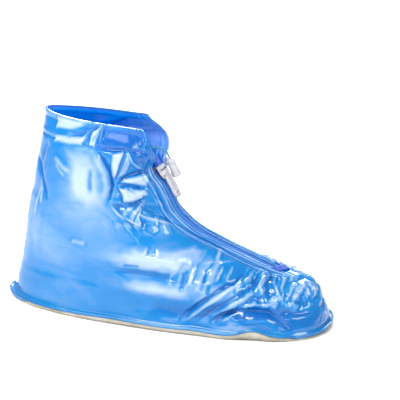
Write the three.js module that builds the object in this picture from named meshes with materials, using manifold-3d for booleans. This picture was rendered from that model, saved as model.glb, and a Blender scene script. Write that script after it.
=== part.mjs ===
// A reusable rain shoe cover: a hollow, ankle-high shell of glossy blue film, welded by its turned-out
// flange to a beige sole sheet, with a zip over the instep and a drawcord at the cuff.
// Millimetres. +Z is up, +X points to the toe, and -Y is the near side. The origin is on the floor,
// below the middle of the sole.

import * as THREE from 'three';
import { mergeVertices } from 'three/addons/utils/BufferGeometryUtils.js';
import Module from 'manifold-3d';

const wasm = await Module();
wasm.setup();

// Driving dimensions
const soleLength = 293;          // heel edge to toe edge
const soleWidth = 106;           // across the ball of the foot
const soleThickness = 2;
const coverHeight = 174;         // floor to the cuff's edge at the back
const flangeWidth = 7;           // the weld margin that is turned out at the base
const filmThickness = 1.2;
const pieceGap = 0.3;            // clearance between neighbouring pieces
const cuffDropNear = 12;         // how far the cuff falls from the back to its front corners
const cuffDropFar = 3;
const hemHeight = 5;             // rolled hem at the cuff
const hemRaise = 0.7;
const hemTurn = 1.5;             // the hem rises over this height

const zipEndHeight = 48.5;       // where the zip stops on the toe
const zipTopHeight = 0.764 * coverHeight;   // upper end of the tapes
const slotHalfWidth = 7;         // the cut in the film that the zip is welded into
const mouthHalfWidth = 16;       // half of the opening at the cuff's edge
const mouthCurve = 1.2;          // power of the slot's widening from the zip's top to the cuff
const bandWidth = 5;             // doubled film beside the slot
const bandRaise = 0.8;
const bandStep = 1.6;            // the doubled film's edge falls over this width
const bandGroove = 0.8;          // depth of the valley just outside the doubled film
const grooveOffset = 3;          // from the doubled film's edge to the valley's middle
const grooveHalf = 2;
const bandFade = 6;              // the band ends over this height below the zip
const coilHalfWidth = 2;
const toothPitch = 2.6;
const toothHeight = 0.5;
const coilRaise = 0.5;           // the coil's root above the film's outer face
const tapeSunk = 0.2;            // the tape's outer face below the film's
const tapeInset = 1;             // the tapes and the coil start this far above the slot's end

const sliderHeight = 0.71 * coverHeight;   // place of the slider on the zip
const sliderLength = 13;
const sliderWidth = 10;
const sliderBack = 2.5;          // length of the bevelled corners at its upper end
const sliderNose = 3.5;          // length of its rounded lower end
const sliderNarrowing = 1.4;     // how much each side draws in at its ends
const sliderPlate = 1.5;
const sliderClearance = 0.5;
const lipThickness = 1.2;        // the two lips that run down beside the coil
const lipBottom = 0.9;           // their lower edge over the film's outer face
const lipBackInset = 3;
const lipNoseInset = 4;
const neckLength = 2;            // the neck that joins the two plates
const neckWidth = 3.2;
const neckInset = 0.4;
const lowerPlateGap = 1.6;       // below the coil's root
const lowerPlateThickness = 1;
const lowerPlateLengthShare = 0.9;   // of the upper plate
const lowerPlateWidthShare = 0.5;    // it is narrow, inside the ridge of the tapes
const pinRadius = 0.8;
const pinClearance = 0.4;
const pinPlace = 1;              // from the slider's middle, down the zip
const eyeWall = 1;
const lugWidth = 1.3;
const lugHalfLength = 1.5;
const lugOverPin = 1.3;
const tabLength = 25;
const tabWidth = 7;
const tabThickness = 1.8;
const tabShoulder = 2.8;         // from the pin to where the blade starts to widen
const tabWidening = 2;           // length over which it widens
const tabHoleRadius = 1.6;
const tabHoleInset = 0.6;        // the hole's centre, back from the centre of the rounded end
const tabTilt = 5;               // degrees that the tab lies off the zip, its free end nearly on it
const stopSize = 2.4;
const stopHeight = 1.3;
const stopInset = 0.6;           // from the tape's outer edge
const stopBelow = 0.4;           // from the tape's upper end
const joinDepth = 0.1;           // joined bodies reach this far into each other

const patchLength = 7;           // along the zip, over its lower end
const patchOverZip = 4;          // how much of it lies over the teeth
const patchThickness = 1;
const gussetBottom = 0.62 * coverHeight;   // the film flap behind the slider
const gussetTop = 0.833 * coverHeight;
const gussetOverlap = 6;         // how far it reaches behind the film beside the slot
const gussetDepth = 6.2;         // its middle stands this far behind the film's outer face
const gussetThickness = 1;
const gussetBend = 5;            // width over which it turns from its edges to its middle
const gussetBendInset = 3;       // where that turn starts, inside the slot's edge
const gussetEdgeGap = 0.5;       // between its edges and the film

const cordDiameter = 1.6;
const cordSides = 8;
const bellLength = 17;
const bellTopRadius = 2.8;
const bellBaseRadius = 4.1;
const bellWall = 1.6;
const bellHollow = 4;            // depth of its hollow foot

// Steps of the shell's grid
const flangeRows = 3;
const toeRows = 11;
const ankleRows = 24;
const sideColumns = 22;
const outlineSamples = 180;
const ridgeSamples = 400;

// Where the folds fade out: at the zip, at the heel's middle line and at the base
const foldZipFade = 14;
const foldHeelFade = 16;
const foldBaseFade = 8;
const lipFoot = 0.645 * coverHeight;   // from here up the far lip turns out as far as the slot
const cuffDropStart = 0.6;       // the cuff's edge starts to fall from this share of coverHeight up
const cornerShare = 0.55;        // how much of the near edge's fall comes close to its front corner
const cornerPower = 7;

const halfLength = soleLength / 2;
const halfWidth = soleWidth / 2;
const soleTop = soleThickness;
const flangeTop = soleTop + pieceGap + filmThickness;

function table(names, rows) {
  return rows.map((row) => Object.fromEntries(names.map((name, k) => [name, row[k]])));
}

// Level outlines of the shell, from the base to the cuff. up is a share of coverHeight, the lengths along
// X are shares of half the sole's length, and near and far are shares of half its width. wide is where the
// outline is widest. The powers are the outline's roundness: 2 is an ellipse, more is fuller, and a
// crest near 1 gives the sharp ridge that the zip lies on.
const sections = table(
  ['up', 'heel', 'front', 'near', 'far', 'wide', 'heelPower', 'frontPower', 'crestPower'],
  [
    [0.020, -0.953, 0.951, 0.868, 0.868, 0.20, 2.2, 3, 2.3],
    [0.092, -0.945, 0.951, 0.887, 0.887, 0.20, 2.2, 2.8, 2.2],
    [0.149, -0.930, 0.940, 0.887, 0.887, 0.19, 2.1, 2.4, 2],
    [0.201, -0.915, 0.921, 0.870, 0.870, 0.17, 2, 2, 1.7],
    [0.247, -0.906, 0.850, 0.845, 0.845, 0.12, 2, 1.6, 1.4],
    [0.284, -0.896, 0.685, 0.822, 0.822, 0.06, 2, 1.4, 1.25],
    [0.316, -0.887, 0.580, 0.806, 0.806, 0.02, 2, 1.4, 1.2],
    [0.379, -0.875, 0.385, 0.779, 0.779, -0.04, 2, 1.4, 1.12],
    [0.431, -0.865, 0.236, 0.760, 0.760, -0.10, 2, 1.4, 1.12],
    [0.483, -0.855, 0.146, 0.751, 0.747, -0.17, 2, 1.5, 1.15],
    [0.540, -0.844, 0.080, 0.742, 0.732, -0.24, 2, 1.6, 1.2],
    [0.598, -0.822, 0.046, 0.734, 0.709, -0.30, 1.95, 1.7, 1.3],
    [0.655, -0.812, 0.010, 0.723, 0.675, -0.34, 1.95, 1.8, 1.4],
    [0.713, -0.800, -0.042, 0.704, 0.630, -0.37, 1.9, 1.9, 1.55],
    [0.764, -0.785, -0.065, 0.683, 0.577, -0.38, 1.9, 2.1, 1.75],
    [0.851, -0.763, -0.034, 0.642, 0.472, -0.38, 1.85, 2.3, 1.9],
    [0.925, -0.749, -0.044, 0.604, 0.368, -0.38, 1.8, 2.5, 2],
    [1.000, -0.727, -0.065, 0.566, 0.264, -0.38, 1.8, 2.6, 2],
  ]);

// Main folds and dents. side is -1 near or 1 far. A fold runs from x0, up0 to x1, up1, as shares of half
// the sole's length and of coverHeight. half is its half width and rise its height, as shares of
// coverHeight: below zero it is a dent.
const folds = table(
  ['side', 'x0', 'up0', 'x1', 'up1', 'half', 'rise'],
  [
    // the pinched pleat in the cuff and the ridge that falls from it
    [-1, -0.42, 0.985, -0.40, 0.86, 0.045, -0.018],
    [-1, -0.44, 0.86, -0.36, 0.66, 0.030, 0.016],
    [-1, -0.36, 0.66, -0.36, 0.56, 0.030, -0.016],
    [-1, -0.36, 0.56, -0.16, 0.47, 0.035, 0.014],
    // facets that fan out from the node beside the slider
    [-1, -0.34, 0.68, -0.17, 0.76, 0.030, -0.014],
    [-1, -0.26, 0.84, -0.22, 0.72, 0.035, 0.018],
    [-1, -0.34, 0.64, -0.16, 0.64, 0.030, 0.012],
    // shallow dents of the ankle and the heel
    [-1, -0.50, 0.72, -0.50, 0.58, 0.045, -0.010],
    [-1, -0.70, 0.62, -0.66, 0.50, 0.050, -0.008],
    [-1, -0.62, 0.36, -0.45, 0.34, 0.045, -0.008],
    // long dents and bulges along the side of the foot
    [-1, -0.28, 0.33, 0.22, 0.27, 0.060, 0.016],
    [-1, -0.10, 0.22, 0.26, 0.20, 0.035, -0.016],
    [-1, -0.05, 0.12, 0.36, 0.12, 0.040, 0.014],
    [-1, 0.14, 0.045, 0.52, 0.25, 0.035, -0.018],
    [-1, 0.36, 0.06, 0.72, 0.16, 0.040, 0.016],
    [-1, 0.56, 0.22, 0.76, 0.16, 0.040, -0.018],
    [-1, 0.74, 0.24, 0.80, 0.10, 0.040, 0.012],
    // the far side
    [1, -0.08, 0.84, -0.05, 0.74, 0.100, 0.058],
    [1, -0.40, 0.80, -0.30, 0.56, 0.045, -0.014],
    [1, -0.62, 0.84, -0.56, 0.62, 0.050, 0.012],
    [1, -0.50, 0.44, -0.10, 0.38, 0.055, 0.014],
    [1, -0.30, 0.26, 0.24, 0.24, 0.045, -0.016],
    [1, 0.10, 0.08, 0.50, 0.24, 0.040, 0.016],
    [1, 0.44, 0.10, 0.72, 0.20, 0.040, -0.016],
    [1, 0.60, 0.26, 0.78, 0.14, 0.040, 0.014],
  ]);

// Where the flange lifts off the sole: side, place and half width as shares of half the sole's length,
// and the lift as a share of flangeWidth.
const flangeWaves = table(
  ['side', 'at', 'half', 'lift'],
  [
    [-1, 0.57, 0.09, 0.65],
    [-1, 0.27, 0.10, 0.17],
    [-1, -0.22, 0.20, 0.12],
    [1, 0.30, 0.16, 0.25],
    [1, -0.40, 0.18, 0.15],
  ]);
const toeCurl = 0.75;            // lift of the flange's tip at the toe, as a share of flangeWidth
const heelCurl = 0.5;
const curlStart = 0.62;          // the curl grows between these shares of half the sole's length
const curlFull = 0.96;

const clamp01 = (t) => Math.min(1, Math.max(0, t));
const smooth = (t) => clamp01(t) ** 2 * (3 - 2 * clamp01(t));
const mix = (a, b, t) => a + (b - a) * t;

// A smooth curve through one column of the sections, without overshoot
function sectionValue(name, up) {
  const last = sections.length - 1;
  let k = 0;
  while (k < last - 1 && up > sections[k + 1].up) k += 1;
  const chord = (i) => (sections[i + 1][name] - sections[i][name]) / (sections[i + 1].up - sections[i].up);
  const slope = (i) => {
    if (i === 0) return chord(0);
    if (i === last) return chord(last - 1);
    const before = chord(i - 1);
    const after = chord(i);
    return before * after <= 0 ? 0 : 2 * before * after / (before + after);
  };
  const span = sections[k + 1].up - sections[k].up;
  const t = (up - sections[k].up) / span;
  return sections[k][name] * (1 + 2 * t) * (1 - t) ** 2 + slope(k) * span * t * (1 - t) ** 2
    + sections[k + 1][name] * t * t * (3 - 2 * t) + slope(k + 1) * span * t * t * (t - 1);
}

// One side of a level outline, from the front round to the heel, with its running length
const outlines = new Map();
function outline(side, z) {
  const key = `${side} ${z.toFixed(4)}`;
  if (outlines.has(key)) return outlines.get(key);
  const up = z / coverHeight;
  const value = (name) => sectionValue(name, up);
  const heel = value('heel') * halfLength;
  const front = value('front') * halfLength;
  const wide = value('wide') * halfLength;
  const across = value(side < 0 ? 'near' : 'far') * halfWidth;
  const tip = 2 / value('frontPower');
  const crest = 2 / value('crestPower');
  const round = 2 / value('heelPower');
  const points = [];
  const run = [0];
  for (let k = 0; k <= outlineSamples; k += 1) {
    const angle = Math.PI * k / outlineSamples;
    const c = Math.abs(Math.cos(angle));
    const s = Math.abs(Math.sin(angle));
    const ahead = angle <= Math.PI / 2;
    const x = ahead ? wide + (front - wide) * c ** tip : wide - (wide - heel) * c ** round;
    const y = side * across * s ** (ahead ? crest : round);
    points.push([x, y]);
    if (k > 0) run.push(run[k - 1] + Math.hypot(x - points[k - 1][0], y - points[k - 1][1]));
  }
  const made = { points, run, length: run[outlineSamples], heel, front };
  outlines.set(key, made);
  return made;
}

const sideOf = (s) => (s < 0 ? -1 : 1);

// The plain form: the point at the arc length s from the ridge (below zero on the near side) and height z
function formPoint(s, z) {
  const side = sideOf(s);
  const { points, run, length, heel, front } = outline(side, z);
  const distance = Math.min(Math.abs(s), length);
  let low = 0;
  let high = outlineSamples;
  while (high - low > 1) {
    const middle = (low + high) >> 1;
    if (run[middle] > distance) high = middle;
    else low = middle;
  }
  const t = (distance - run[low]) / Math.max(run[high] - run[low], 1e-9);
  const x = mix(points[low][0], points[high][0], t);
  const y = mix(points[low][1], points[high][1], t);
  const cuff = smooth((z / coverHeight - cuffDropStart) / (1 - cuffDropStart));
  const along = clamp01((x - heel) / (front - heel));
  const near = cuffDropNear * mix(along, along ** cornerPower, cornerShare);
  const fall = side < 0 ? near : cuffDropFar * along;
  return new THREE.Vector3(x, y, z - fall * cuff);
}

function normalOf(point, s, z, step = 0.6) {
  const along = point(s + step, z).sub(point(s - step, z));
  const zLow = Math.max(z - step, sections[0].up * coverHeight);
  const zHigh = Math.min(z + step, coverHeight);
  const up = point(s, zHigh).sub(point(s, zLow));
  return along.cross(up).normalize();
}

// How far the folds push the film out at a point of one side
function foldRise(side, x, z) {
  let rise = 0;
  for (const fold of folds) {
    if (fold.side !== side) continue;
    const ax = fold.x0 * halfLength;
    const az = fold.up0 * coverHeight;
    const bx = fold.x1 * halfLength - ax;
    const bz = fold.up1 * coverHeight - az;
    const t = clamp01(((x - ax) * bx + (z - az) * bz) / (bx * bx + bz * bz));
    const away = Math.hypot(x - ax - t * bx, z - az - t * bz) / (fold.half * coverHeight);
    rise += fold.rise * coverHeight * Math.exp(-(away ** 2));
  }
  return rise;
}

function slotHalf(z) {
  const above = clamp01((z - zipTopHeight) / (coverHeight - zipTopHeight));
  return mix(slotHalfWidth, mouthHalfWidth, above ** mouthCurve);
}

const bandEdge = (z) => slotHalf(z) + bandWidth;

// The film's outer face: the plain form, pushed out by the folds, the doubled band and the cuff's hem
function filmPoint(s, z) {
  const at = formPoint(s, z);
  const fromZip = Math.abs(s);
  const { length } = outline(sideOf(s), z);
  const hemShare = (z - coverHeight + hemHeight) / hemHeight;
  const zipFade = smooth((fromZip - slotHalfWidth - bandWidth) / foldZipFade);
  const heelFade = smooth((length - fromZip) / foldHeelFade);
  const fade = zipFade * heelFade * smooth((z - flangeTop) / foldBaseFade) * (1 - smooth(hemShare) / 2);
  const lipFade = s > 0 ? smooth(fromZip / foldZipFade) * smooth((z - lipFoot) / foldZipFade) : 0;
  const past = fromZip - bandEdge(z);
  const band = bandRaise * (1 - smooth(past / bandStep))
    - bandGroove * Math.exp(-(((past - grooveOffset) / grooveHalf) ** 2));
  const rise = foldRise(sideOf(s), at.x, at.z) * Math.max(fade, lipFade)
    + band * smooth((z - zipEndHeight + bandFade) / bandFade)
    + hemRaise * smooth(hemShare * hemHeight / hemTurn);
  return at.addScaledVector(normalOf(formPoint, s, z), rise);
}

// The flange's top face: t runs from the wall's foot to the edge
function flangePoint(s, t) {
  const root = formPoint(s, flangeTop);
  const out = normalOf(formPoint, s, flangeTop).setZ(0).normalize();
  const reach = mix(filmThickness, flangeWidth, t);
  const end = root.x / halfLength;
  const grown = smooth((Math.abs(end) - curlStart) / (curlFull - curlStart));
  const curl = (end > 0 ? toeCurl : heelCurl) * grown;
  let lift = curl;
  for (const wave of flangeWaves) {
    if (wave.side === sideOf(s)) lift += wave.lift * Math.exp(-(((end - wave.at) / wave.half) ** 2));
  }
  return root.addScaledVector(out, reach).setZ(flangeTop + lift * flangeWidth * t * t);
}

// A closed wall from two grids of points. keep tells which cells are there, and ring joins the last
// column to the first. Each edge that only one kept cell has gets a strip between the two faces.
function wall(outer, inner, keep = () => true, ring = false) {
  const rows = outer.length;
  const columns = outer[0].length;
  const cells = ring ? columns : columns - 1;
  const positions = [];
  const quad = (a, b, c, d) => {
    for (const p of [a, b, c, a, c, d]) positions.push(p.x, p.y, p.z);
  };
  const kept = (i, j) => {
    const column = ring ? (j + cells) % cells : j;
    return i >= 0 && i < rows - 1 && column >= 0 && column < cells && keep(i, column);
  };
  for (let i = 0; i < rows - 1; i += 1) {
    for (let j = 0; j < cells; j += 1) {
      if (!kept(i, j)) continue;
      const next = (j + 1) % columns;
      quad(outer[i][j], outer[i][next], outer[i + 1][next], outer[i + 1][j]);
      quad(inner[i][j], inner[i + 1][j], inner[i + 1][next], inner[i][next]);
      if (!kept(i - 1, j)) quad(outer[i][next], outer[i][j], inner[i][j], inner[i][next]);
      if (!kept(i + 1, j)) quad(outer[i + 1][j], outer[i + 1][next], inner[i + 1][next], inner[i + 1][j]);
      if (!kept(i, j - 1)) quad(outer[i][j], outer[i + 1][j], inner[i + 1][j], inner[i][j]);
      if (!kept(i, j + 1)) quad(outer[i + 1][next], outer[i][next], inner[i][next], inner[i + 1][next]);
    }
  }
  const geometry = new THREE.BufferGeometry();
  geometry.setAttribute('position', new THREE.Float32BufferAttribute(positions, 3));
  return mergeVertices(geometry, 1e-4);
}

// A strip of film or tape that follows the cover's form: s and z run over lists, and its two faces stand
// off the form's outer face by outerOff(s, z) and innerOff(s, z).
function strip(arcs, heights, outerOff, innerOff) {
  const face = (off) => heights.map((z) => arcs.map((share) => {
    const s = typeof share === 'function' ? share(z) : share;
    return formPoint(s, z).addScaledVector(normalOf(formPoint, s, z), off(s, z));
  }));
  return wall(face(outerOff), face(innerOff));
}

function steps(from, to, count) {
  return Array.from({ length: count + 1 }, (_, k) => mix(from, to, k / count));
}

// The ridge's running length at many levels between two heights
function ridgeRun(from, to) {
  const levels = steps(from, to, ridgeSamples);
  const run = [0];
  for (let k = 1; k <= ridgeSamples; k += 1) {
    run.push(run[k - 1] + formPoint(0, levels[k - 1]).distanceTo(formPoint(0, levels[k])));
  }
  return { levels, run };
}

// Heights from one level to another, evenly spaced along the ridge
function ridgeHeights(from, to, count) {
  const { levels, run } = ridgeRun(from, to);
  return steps(0, run[ridgeSamples], count).map((target) => {
    const k = Math.max(1, run.findIndex((value) => value >= target - 1e-9));
    return mix(levels[k - 1], levels[k], clamp01((target - run[k - 1]) / (run[k] - run[k - 1])));
  });
}

// The height on the ridge at a distance below the zip's end (above it, if less than zero)
function ridgeLevel(distance, step = 0.02) {
  const down = distance > 0 ? -step : step;
  let z = zipEndHeight;
  for (let run = 0; run < Math.abs(distance); z += down) {
    run += formPoint(0, z).distanceTo(formPoint(0, z + down));
  }
  return z;
}

function material(color, roughness, metalness = 0) {
  return new THREE.MeshStandardMaterial({ color, roughness, metalness });
}

const film = material(0x3f95ea, 0.18);
const soleSheet = material(0xc9c4b6, 0.7);
const tapeCloth = material(0x2f7fd6, 0.8);
const coilPlastic = material(0x2c68c0, 0.45);
const whitePlastic = material(0xdcdcd8, 0.35);
const bronzeMetal = material(0x7a5a48, 0.4, 0.8);
const patchFilm = material(0x0b4fc8, 0.3);
const gussetFilm = material(0x1e9bff, 0.25);
const cordYarn = material(0x2fa3b8, 0.8);

// The shell: flange, wall and cuff in one wall of film, open at the slot above the zip's end
function makeUpper() {
  const hemFoot = coverHeight - hemHeight;
  const lower = ridgeHeights(flangeTop + hemTurn, zipEndHeight, toeRows);
  const upper = ridgeHeights(zipEndHeight, hemFoot, ankleRows).slice(1);
  const heights = [...lower, ...upper, hemFoot + hemTurn, coverHeight];
  const arcsOf = (side, z) => {
    const edge = bandEdge(z);
    const rest = steps(edge + grooveOffset, outline(side, z).length, sideColumns);
    return [slotHalf(z), edge, edge + bandStep, ...rest];
  };
  const rowArcs = (z) => [0, ...arcsOf(1, z), ...arcsOf(-1, z).slice(0, -1).reverse().map((s) => -s)];
  const outer = [];
  const inner = [];
  for (const t of steps(1, 0, flangeRows - 1)) {
    const row = rowArcs(flangeTop).map((s) => flangePoint(s, t));
    outer.push(row);
    inner.push(row.map((p) => p.clone().add(new THREE.Vector3(0, 0, -filmThickness))));
  }
  for (const z of heights) {
    const arcs = rowArcs(z);
    outer.push(arcs.map((s) => filmPoint(s, z)));
    inner.push(arcs.map((s) => filmPoint(s, z).addScaledVector(normalOf(filmPoint, s, z), -filmThickness)));
  }
  const slotRow = flangeRows + toeRows;
  const columns = outer[0].length;
  const keep = (i, j) => !(i >= slotRow && (j === 0 || j === columns - 1));
  return wall(outer, inner, keep, true);
}

function makeSole() {
  const half = (side) => {
    const { length } = outline(side, flangeTop);
    return steps(0, length, 2 * sideColumns).map((s) => flangePoint(side * Math.max(s, 1e-6), 1));
  };
  const edge = [...half(1), ...half(-1).slice(1, -1).reverse()];
  const shape = new THREE.Shape(edge.map((p) => new THREE.Vector2(p.x, p.y)));
  return new THREE.ExtrudeGeometry(shape, { depth: soleThickness, bevelEnabled: false });
}

function makeTape(side) {
  const arcs = [coilHalfWidth + pieceGap, slotHalfWidth - pieceGap].map((s) => s * side);
  if (side < 0) arcs.reverse();
  const heights = ridgeHeights(zipEndHeight + tapeInset, zipTopHeight, sideColumns);
  return strip(arcs, heights, () => -tapeSunk, () => -filmThickness);
}

// The closed coil: a bar whose outer face rises at every tooth
function makeChain() {
  const { run } = ridgeRun(zipEndHeight + tapeInset, sliderHeight);
  const teeth = Math.round(run[ridgeSamples] / toothPitch);
  const heights = ridgeHeights(zipEndHeight + tapeInset, sliderHeight, 2 * teeth);
  const level = new Map(heights.map((z, k) => [z, k % 2]));
  const outerOff = (s, z) => coilRaise + toothHeight * level.get(z);
  return strip([-coilHalfWidth, coilHalfWidth], heights, outerOff, () => -filmThickness);
}

// The patch lies over the coil's last teeth and the doubled film, down to the toe
function makePatch() {
  const heights = [1, 0.5, 0].map((t) => ridgeLevel(mix(-patchOverZip, patchLength - patchOverZip, t)));
  const stand = Math.max(coilRaise + toothHeight, bandRaise) + pieceGap;
  const half = slotHalfWidth + bandWidth;
  return strip(steps(-half, half, 6), heights, () => stand + patchThickness, () => stand);
}

function makeGusset() {
  const edge = (z) => slotHalf(z) + gussetOverlap;
  const shares = steps(-1, 1, 10);
  const arcs = shares.map((share) => (z) => share * edge(z));
  const depth = (s, z) => {
    const behind = filmThickness + gussetEdgeGap;
    return -mix(gussetDepth, behind, smooth((Math.abs(s) - slotHalf(z) + gussetBendInset) / gussetBend));
  };
  return strip(arcs, steps(gussetBottom, gussetTop, 8), depth, (s, z) => depth(s, z) - gussetThickness);
}

function makeStop() {
  const low = zipTopHeight - stopSize - stopBelow;
  const edge = stopInset - slotHalfWidth;
  const stand = pieceGap - tapeSunk;
  return strip([edge, edge + stopSize], [low, low + stopSize], () => stand + stopHeight, () => stand);
}

// Solids that need a cut or a join
function solid(geometry) {
  const plain = geometry.clone();
  plain.deleteAttribute('normal');
  plain.deleteAttribute('uv');
  const merged = mergeVertices(plain, 1e-4);
  const index = merged.index.array;
  const mesh = new wasm.Mesh({
    numProp: 3,
    vertProperties: new Float32Array(merged.attributes.position.array),
    triVerts: new Uint32Array(index),
  });
  return new wasm.Manifold(mesh);
}

function geometryOf(body) {
  const mesh = body.getMesh();
  const geometry = new THREE.BufferGeometry();
  geometry.setAttribute('position', new THREE.Float32BufferAttribute(mesh.vertProperties, 3));
  geometry.setIndex(new THREE.Uint32BufferAttribute(mesh.triVerts, 1));
  return geometry;
}

function box(x0, x1, y0, y1, z0, z1) {
  return new THREE.BoxGeometry(x1 - x0, y1 - y0, z1 - z0)
    .translate((x0 + x1) / 2, (y0 + y1) / 2, (z0 + z1) / 2);
}

// Heights over the film on the zip's centre line, in the slider's own frame: x down the zip, z outwards
const coilTop = coilRaise + toothHeight;
const plateBottom = coilTop + sliderClearance;
const plateTop = plateBottom + sliderPlate;
const eyeRadius = pinRadius + pinClearance + eyeWall;
const pinHeight = plateTop + eyeRadius + pinClearance;
const lowerPlateTop = -filmThickness - lowerPlateGap;
const lugInner = tabWidth / 2 - lugWidth + pinClearance;
const eyeHalf = lugInner - pinClearance;

// The slider: a plate with two lips beside the coil, a neck to a lower plate, and two lugs with a pin
function makeSlider() {
  const half = sliderLength / 2;
  const side = sliderWidth / 2;
  const back = side - sliderNarrowing;
  const shape = new THREE.Shape();
  shape.moveTo(-half, -back);
  shape.lineTo(-half + sliderBack, -side);
  shape.lineTo(half - sliderNose, -side);
  shape.quadraticCurveTo(half, -back, half, 0);
  shape.quadraticCurveTo(half, back, half - sliderNose, side);
  shape.lineTo(-half + sliderBack, side);
  shape.lineTo(-half, back);
  const plate = (from, depth) => {
    const settings = { depth, bevelEnabled: false, curveSegments: 4 };
    return new THREE.ExtrudeGeometry(shape, settings).translate(0, 0, from);
  };
  const pair = (x0, x1, y0, y1, z0, z1) => [box(x0, x1, y0, y1, z0, z1), box(x0, x1, -y1, -y0, z0, z1)];
  const lipInner = coilHalfWidth + sliderClearance;
  const pieces = [
    plate(lowerPlateTop - lowerPlateThickness, lowerPlateThickness)
      .scale(lowerPlateLengthShare, lowerPlateWidthShare, 1),
    ...pair(-half + lipBackInset, half - lipNoseInset, lipInner, lipInner + lipThickness, lipBottom,
      plateBottom + joinDepth),
    box(-half + neckInset, -half + neckInset + neckLength, -neckWidth / 2, neckWidth / 2,
      lowerPlateTop - joinDepth, plateBottom + joinDepth),
    ...pair(pinPlace - lugHalfLength, pinPlace + lugHalfLength, lugInner, lugInner + lugWidth,
      plateTop - joinDepth, pinHeight + lugOverPin),
    new THREE.CylinderGeometry(pinRadius, pinRadius, 2 * (lugInner + joinDepth), 10)
      .translate(pinPlace, 0, pinHeight),
  ];
  const upperPlate = solid(plate(plateBottom, sliderPlate));
  return geometryOf(pieces.reduce((body, piece) => body.add(solid(piece)), upperPlate));
}

// The pull tab, in its own frame: the pin at the origin and the tab lying along +x
function makeTab() {
  const round = tabWidth / 2;
  const shape = new THREE.Shape();
  shape.moveTo(0, -eyeHalf);
  shape.lineTo(tabShoulder, -eyeHalf);
  shape.lineTo(tabShoulder + tabWidening, -round);
  shape.lineTo(tabLength - round, -round);
  shape.absarc(tabLength - round, 0, round, -Math.PI / 2, Math.PI / 2, false);
  shape.lineTo(tabShoulder + tabWidening, round);
  shape.lineTo(tabShoulder, eyeHalf);
  shape.lineTo(0, eyeHalf);
  const hole = new THREE.Path();
  hole.absarc(tabLength - round - tabHoleInset, 0, tabHoleRadius, 0, 2 * Math.PI, true);
  shape.holes.push(hole);
  const thickness = { depth: tabThickness, bevelEnabled: false, curveSegments: 8 };
  const blade = new THREE.ExtrudeGeometry(shape, thickness).translate(0, 0, -tabThickness / 2);
  const eye = new THREE.CylinderGeometry(eyeRadius, eyeRadius, 2 * eyeHalf, 16);
  const boreRadius = pinRadius + pinClearance;
  const bore = new THREE.CylinderGeometry(boreRadius, boreRadius, 2 * (eyeHalf + joinDepth), 16);
  return geometryOf(solid(blade).add(solid(eye)).subtract(solid(bore)));
}

// The slider's place on the ridge. The drawcord's points and its bell are given from there.
const sliderPlace = formPoint(0, sliderHeight);
const fromSlider = (x, y, z) => new THREE.Vector3(x, y, z).add(sliderPlace);

// The drawcord's route, chosen by hand: out of the near side of the cuff, across the opening to the bell
const cordRoute = [
  [-15.1, -20.6, 29.8],
  [-11.7, -17.8, 28.8],
  [-8.1, -14.0, 27.6],
  [-4.5, -10.2, 26.4],
  [-1.1, -6.8, 25.0],
  [1.5, -3.6, 23.2],
  [3.5, -0.4, 21.1],
  [4.6, 2.6, 18.7],
  [5.2, 5.0, 16.1],
  [5.6, 6.8, 13.7],
  [5.7, 7.9, 11.5],
].map((p) => fromSlider(...p));
const bellTop = fromSlider(5.8, 8.1, 11.1);
const bellFoot = fromSlider(11.8, 10.6, -4.4);

function makeCord() {
  const path = new THREE.CatmullRomCurve3(cordRoute);
  const ring = Array.from({ length: cordSides }, (_, k) => {
    const angle = 2 * Math.PI * k / cordSides;
    return new THREE.Vector2(Math.cos(angle), Math.sin(angle)).multiplyScalar(cordDiameter / 2);
  });
  const count = Math.round(path.getLength() / (2.5 * cordDiameter));
  const settings = { extrudePath: path, steps: count, bevelEnabled: false };
  return new THREE.ExtrudeGeometry(new THREE.Shape(ring), settings);
}

// The cord end: a bell with a hollow foot, its top at the origin and its foot along -y
function makeBell() {
  const profile = [
    [0, 0],
    [0.7 * bellTopRadius, 0],
    [bellTopRadius, -0.06 * bellLength],
    [bellTopRadius, -0.35 * bellLength],
    [0.92 * bellBaseRadius, -0.62 * bellLength],
    [bellBaseRadius, -0.94 * bellLength],
    [0.88 * bellBaseRadius, -bellLength],
    [bellBaseRadius - bellWall, -bellLength],
    [bellBaseRadius - bellWall, bellHollow - bellLength],
    [0, bellHollow - bellLength],
  ];
  return new THREE.LatheGeometry(profile.map(([r, y]) => new THREE.Vector2(r, y)).reverse(), 14);
}

const cover = new THREE.Group();

function addPiece(name, geometry, finish, parent = cover) {
  geometry.deleteAttribute('uv');
  geometry.computeVertexNormals();
  const mesh = new THREE.Mesh(geometry, finish);
  mesh.name = name;
  parent.add(mesh);
  return mesh;
}

addPiece('upper', makeUpper(), film);
addPiece('sole', makeSole(), soleSheet);
addPiece('zip_tape_near', makeTape(-1), tapeCloth);
addPiece('zip_tape_far', makeTape(1), tapeCloth);
addPiece('zip_chain', makeChain(), coilPlastic);
addPiece('zip_end_patch', makePatch(), patchFilm);
addPiece('gusset', makeGusset(), gussetFilm);
addPiece('top_stop', makeStop(), bronzeMetal);
addPiece('drawcord', makeCord(), cordYarn);

// The slider stands on the ridge, its x axis down the zip
const ridgeAbove = formPoint(0, sliderHeight + sliderLength / 3);
const ridgeBelow = formPoint(0, sliderHeight - sliderLength / 3);
const downZip = ridgeBelow.clone().sub(ridgeAbove).normalize();
const sliderGroup = new THREE.Group();
sliderGroup.position.copy(sliderPlace);
sliderGroup.rotation.y = Math.atan2(-downZip.z, downZip.x);
cover.add(sliderGroup);
addPiece('slider', makeSlider(), whitePlastic, sliderGroup);
const tabGroup = new THREE.Group();
tabGroup.position.set(pinPlace, 0, pinHeight);
tabGroup.rotation.y = THREE.MathUtils.degToRad(tabTilt);
sliderGroup.add(tabGroup);
addPiece('pull_tab', makeTab(), whitePlastic, tabGroup);

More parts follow.
